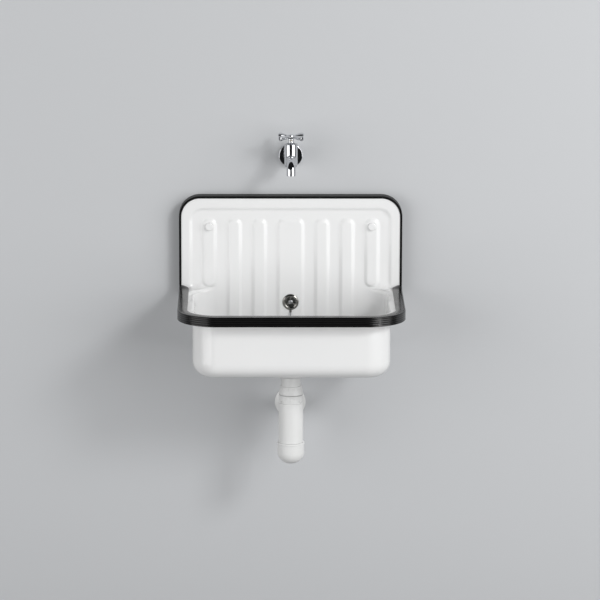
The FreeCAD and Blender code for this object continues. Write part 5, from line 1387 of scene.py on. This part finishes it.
@dataclass(frozen=True)
class Studio:
    """Wall, floor, lamps, world and camera, in metres."""

    wall_colour: Colour = (0.565, 0.576, 0.59)
    floor_colour: Colour = (0.3, 0.3, 0.305)
    wall_reach: float = 2.2
    wall_top: float = 2.6
    wall_y: float = 0.0004
    floor_z: float = -0.95
    floor_reach: float = 4.0
    floor_front: float = 1.4
    floor_back: float = 2.0
    lamps: tuple[Lamp, ...] = (
        Lamp("right_bank", (3.1, -3.0, 0.6), (4.2, 3.4), 110.0),
        Lamp("key", (2.5, -3.0, 2.0), (0.9, 0.9), 48.0),
        Lamp("left_bank", (-3.3, -2.7, 0.1), (4.2, 3.0), 77.0),
        Lamp("back_bank", (0.0, 3.4, 0.3), (3.4, 2.4), 45.0),
    )
    lamp_aim: Point = (0.0, -0.1, -0.1)
    # Colour and strength of the fill for matt surfaces, of the room in reflections and of the ground.
    fill: tuple[Colour, float] = ((1.0, 1.0, 1.0), 0.29)
    room: tuple[Colour, float] = ((0.9, 0.95, 1.0), 0.015)
    ground: tuple[Colour, float] = ((0.8, 0.8, 0.81), 0.9)
    eye: Point = (-0.0802, -8.747, 1.716)
    target: Point = (0.022, 0.0, -0.178)
    roll: float = -0.149
    lens: float = 233.5
    sensor: float = 36.0
    clip_end: float = 60.0

    def paint(self, name: str, colour: Colour, lets_fill: bool) -> bpy.types.Material:
        """Plain matt paint, clear to see through from behind.

        Args:
            name: Name of the material.
            colour: Its colour.
            lets_fill: Whether the even fill passes it and lights the object's back.

        Returns:
            The material.
        """
        material, maker = new_material(name)
        matt = {"Base Color": colour, "Roughness": 0.9, "Specular IOR Level": 0.1}
        shader = maker.add("ShaderNodeBsdfPrincipled", matt).outputs[0]
        through = maker.add("ShaderNodeNewGeometry").outputs["Backfacing"]
        if lets_fill:
            ray = maker.add("ShaderNodeLightPath").outputs
            for kind in ("Is Shadow Ray", "Is Diffuse Ray"):
                through = maker.math("MAXIMUM", through, ray[kind])
        clear = maker.add("ShaderNodeBsdfTransparent").outputs[0]
        maker.add("ShaderNodeOutputMaterial", {"Surface": maker.mix_shader(through, shader, clear)})
        return material

    def sheet(self, name: str, corners: Sequence[Point], material: bpy.types.Material) -> None:
        """Make one flat quad of the stage.

        Args:
            name: Name of the quad.
            corners: Its corners in the order that faces the object.
            material: Its paint.
        """
        patch = Patch(np.array(corners) / MM, np.array([[0, 1, 2, 3]]))
        piece = mesh_piece(name, patch, outward=False)
        piece.data.materials.append(material)

    def world(self) -> None:
        """Even fill for matt surfaces, a dim room for reflections and a pale ground behind."""
        world = bpy.data.worlds.new("studio")
        world.use_nodes = True
        bpy.context.scene.world = world
        maker = NodeMaker(world.node_tree)
        ray = maker.add("ShaderNodeLightPath").outputs
        fill, room, ground = (
            maker.add("ShaderNodeBackground", {"Color": colour, "Strength": strength}).outputs[0]
            for colour, strength in (self.fill, self.room, self.ground)
        )
        light = maker.mix_shader(ray["Is Glossy Ray"], fill, room)
        seen = maker.mix_shader(ray["Is Camera Ray"], light, ground)
        maker.add("ShaderNodeOutputWorld", {"Surface": seen})

    def camera(self) -> None:
        """Camera at the photograph's place, aimed and rolled."""
        data = bpy.data.cameras.new("photo_view")
        data.lens = self.lens
        data.sensor_width = self.sensor
        data.clip_end = self.clip_end
        camera = bpy.data.objects.new("photo_view", data)
        look = (Vector(self.target) - Vector(self.eye)).to_track_quat("-Z", "Y").to_matrix().to_4x4()
        turn = Matrix.Rotation(math.radians(-self.roll), 4, "Z")
        camera.matrix_world = Matrix.Translation(self.eye) @ look @ turn
        bpy.context.scene.collection.objects.link(camera)
        bpy.context.scene.camera = camera

    def build(self) -> None:
        """Set up everything that isn't the object."""
        wide, high, low, behind = self.wall_reach, self.wall_top, self.floor_z, self.wall_y
        far, near, back = self.floor_reach, -self.floor_front, self.floor_back
        wall = [(-wide, behind, low), (wide, behind, low), (wide, behind, high), (-wide, behind, high)]
        floor = [(-far, near, low), (far, near, low), (far, back, low), (-far, back, low)]
        self.sheet("studio_wall", wall, self.paint("wall_paint", self.wall_colour, True))
        self.sheet("studio_floor", floor, self.paint("floor_paint", self.floor_colour, False))
        for lamp in self.lamps:
            lamp.build(self.lamp_aim)
        self.world()
        self.camera()
        bpy.context.scene.view_settings.view_transform = "Standard"


def box_mm(node: str) -> tuple[np.ndarray, np.ndarray]:
    """Lowest and highest corner of a CAD node in millimetres."""
    low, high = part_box(node)
    return np.array(low) / MM, np.array(high) / MM


def main() -> None:
    """Build the studio and every piece in order."""
    logging.basicConfig(level=logging.INFO, format="%(name)s: %(message)s")
    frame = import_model()
    palette = Palette(SharedEffects())
    palette.dress_nodes(frame)
    steel_low, steel_high = box_mm("basin")
    guard_low, guard_high = box_mm("rim_guard")
    trim_low, trim_high = box_mm("splash_edge_trim")
    plate_low, plate_high = box_mm("tap_wall_rosette")
    handle_low, handle_high = box_mm("tap_handle")
    nut_low, nut_high = box_mm("trap_collar_nut")
    guard_wall, sheet, plate_drop = 3.0, 2.5, 1.0
    Studio().build()
    pieces = (
        BallChain(),
        Basin(
            half=steel_high[0], depth=-steel_low[1], top=steel_high[2], ledge=guard_high[2] - guard_wall,
            floor=steel_low[2] + sheet, sheet=sheet,
        ),
        RimGuard(
            half=guard_high[0], depth=-guard_low[1], top=guard_high[2], low=guard_low[2],
            back=guard_high[1],
        ),
        SplashTrim(
            half=trim_high[0], top=trim_high[2], low=trim_low[2], rim=guard_high[2], face=-trim_low[1]
        ),
        TapPlate(
            radius=plate_high[0], height=-plate_low[1] - plate_drop,
            z=(plate_low[2] + plate_high[2]) / 2.0,
        ),
        CrossHandle(y=(handle_low[1] + handle_high[1]) / 2.0, low=handle_low[2]),
        CollarNut(
            radius=nut_high[0], low=nut_low[2], high=nut_high[2], y=(nut_low[1] + nut_high[1]) / 2.0
        ),
    )
    for piece in pieces:
        piece.build(palette)
        LOG.info("built %s", type(piece).__name__)


if __name__ == "__main__":
    main()
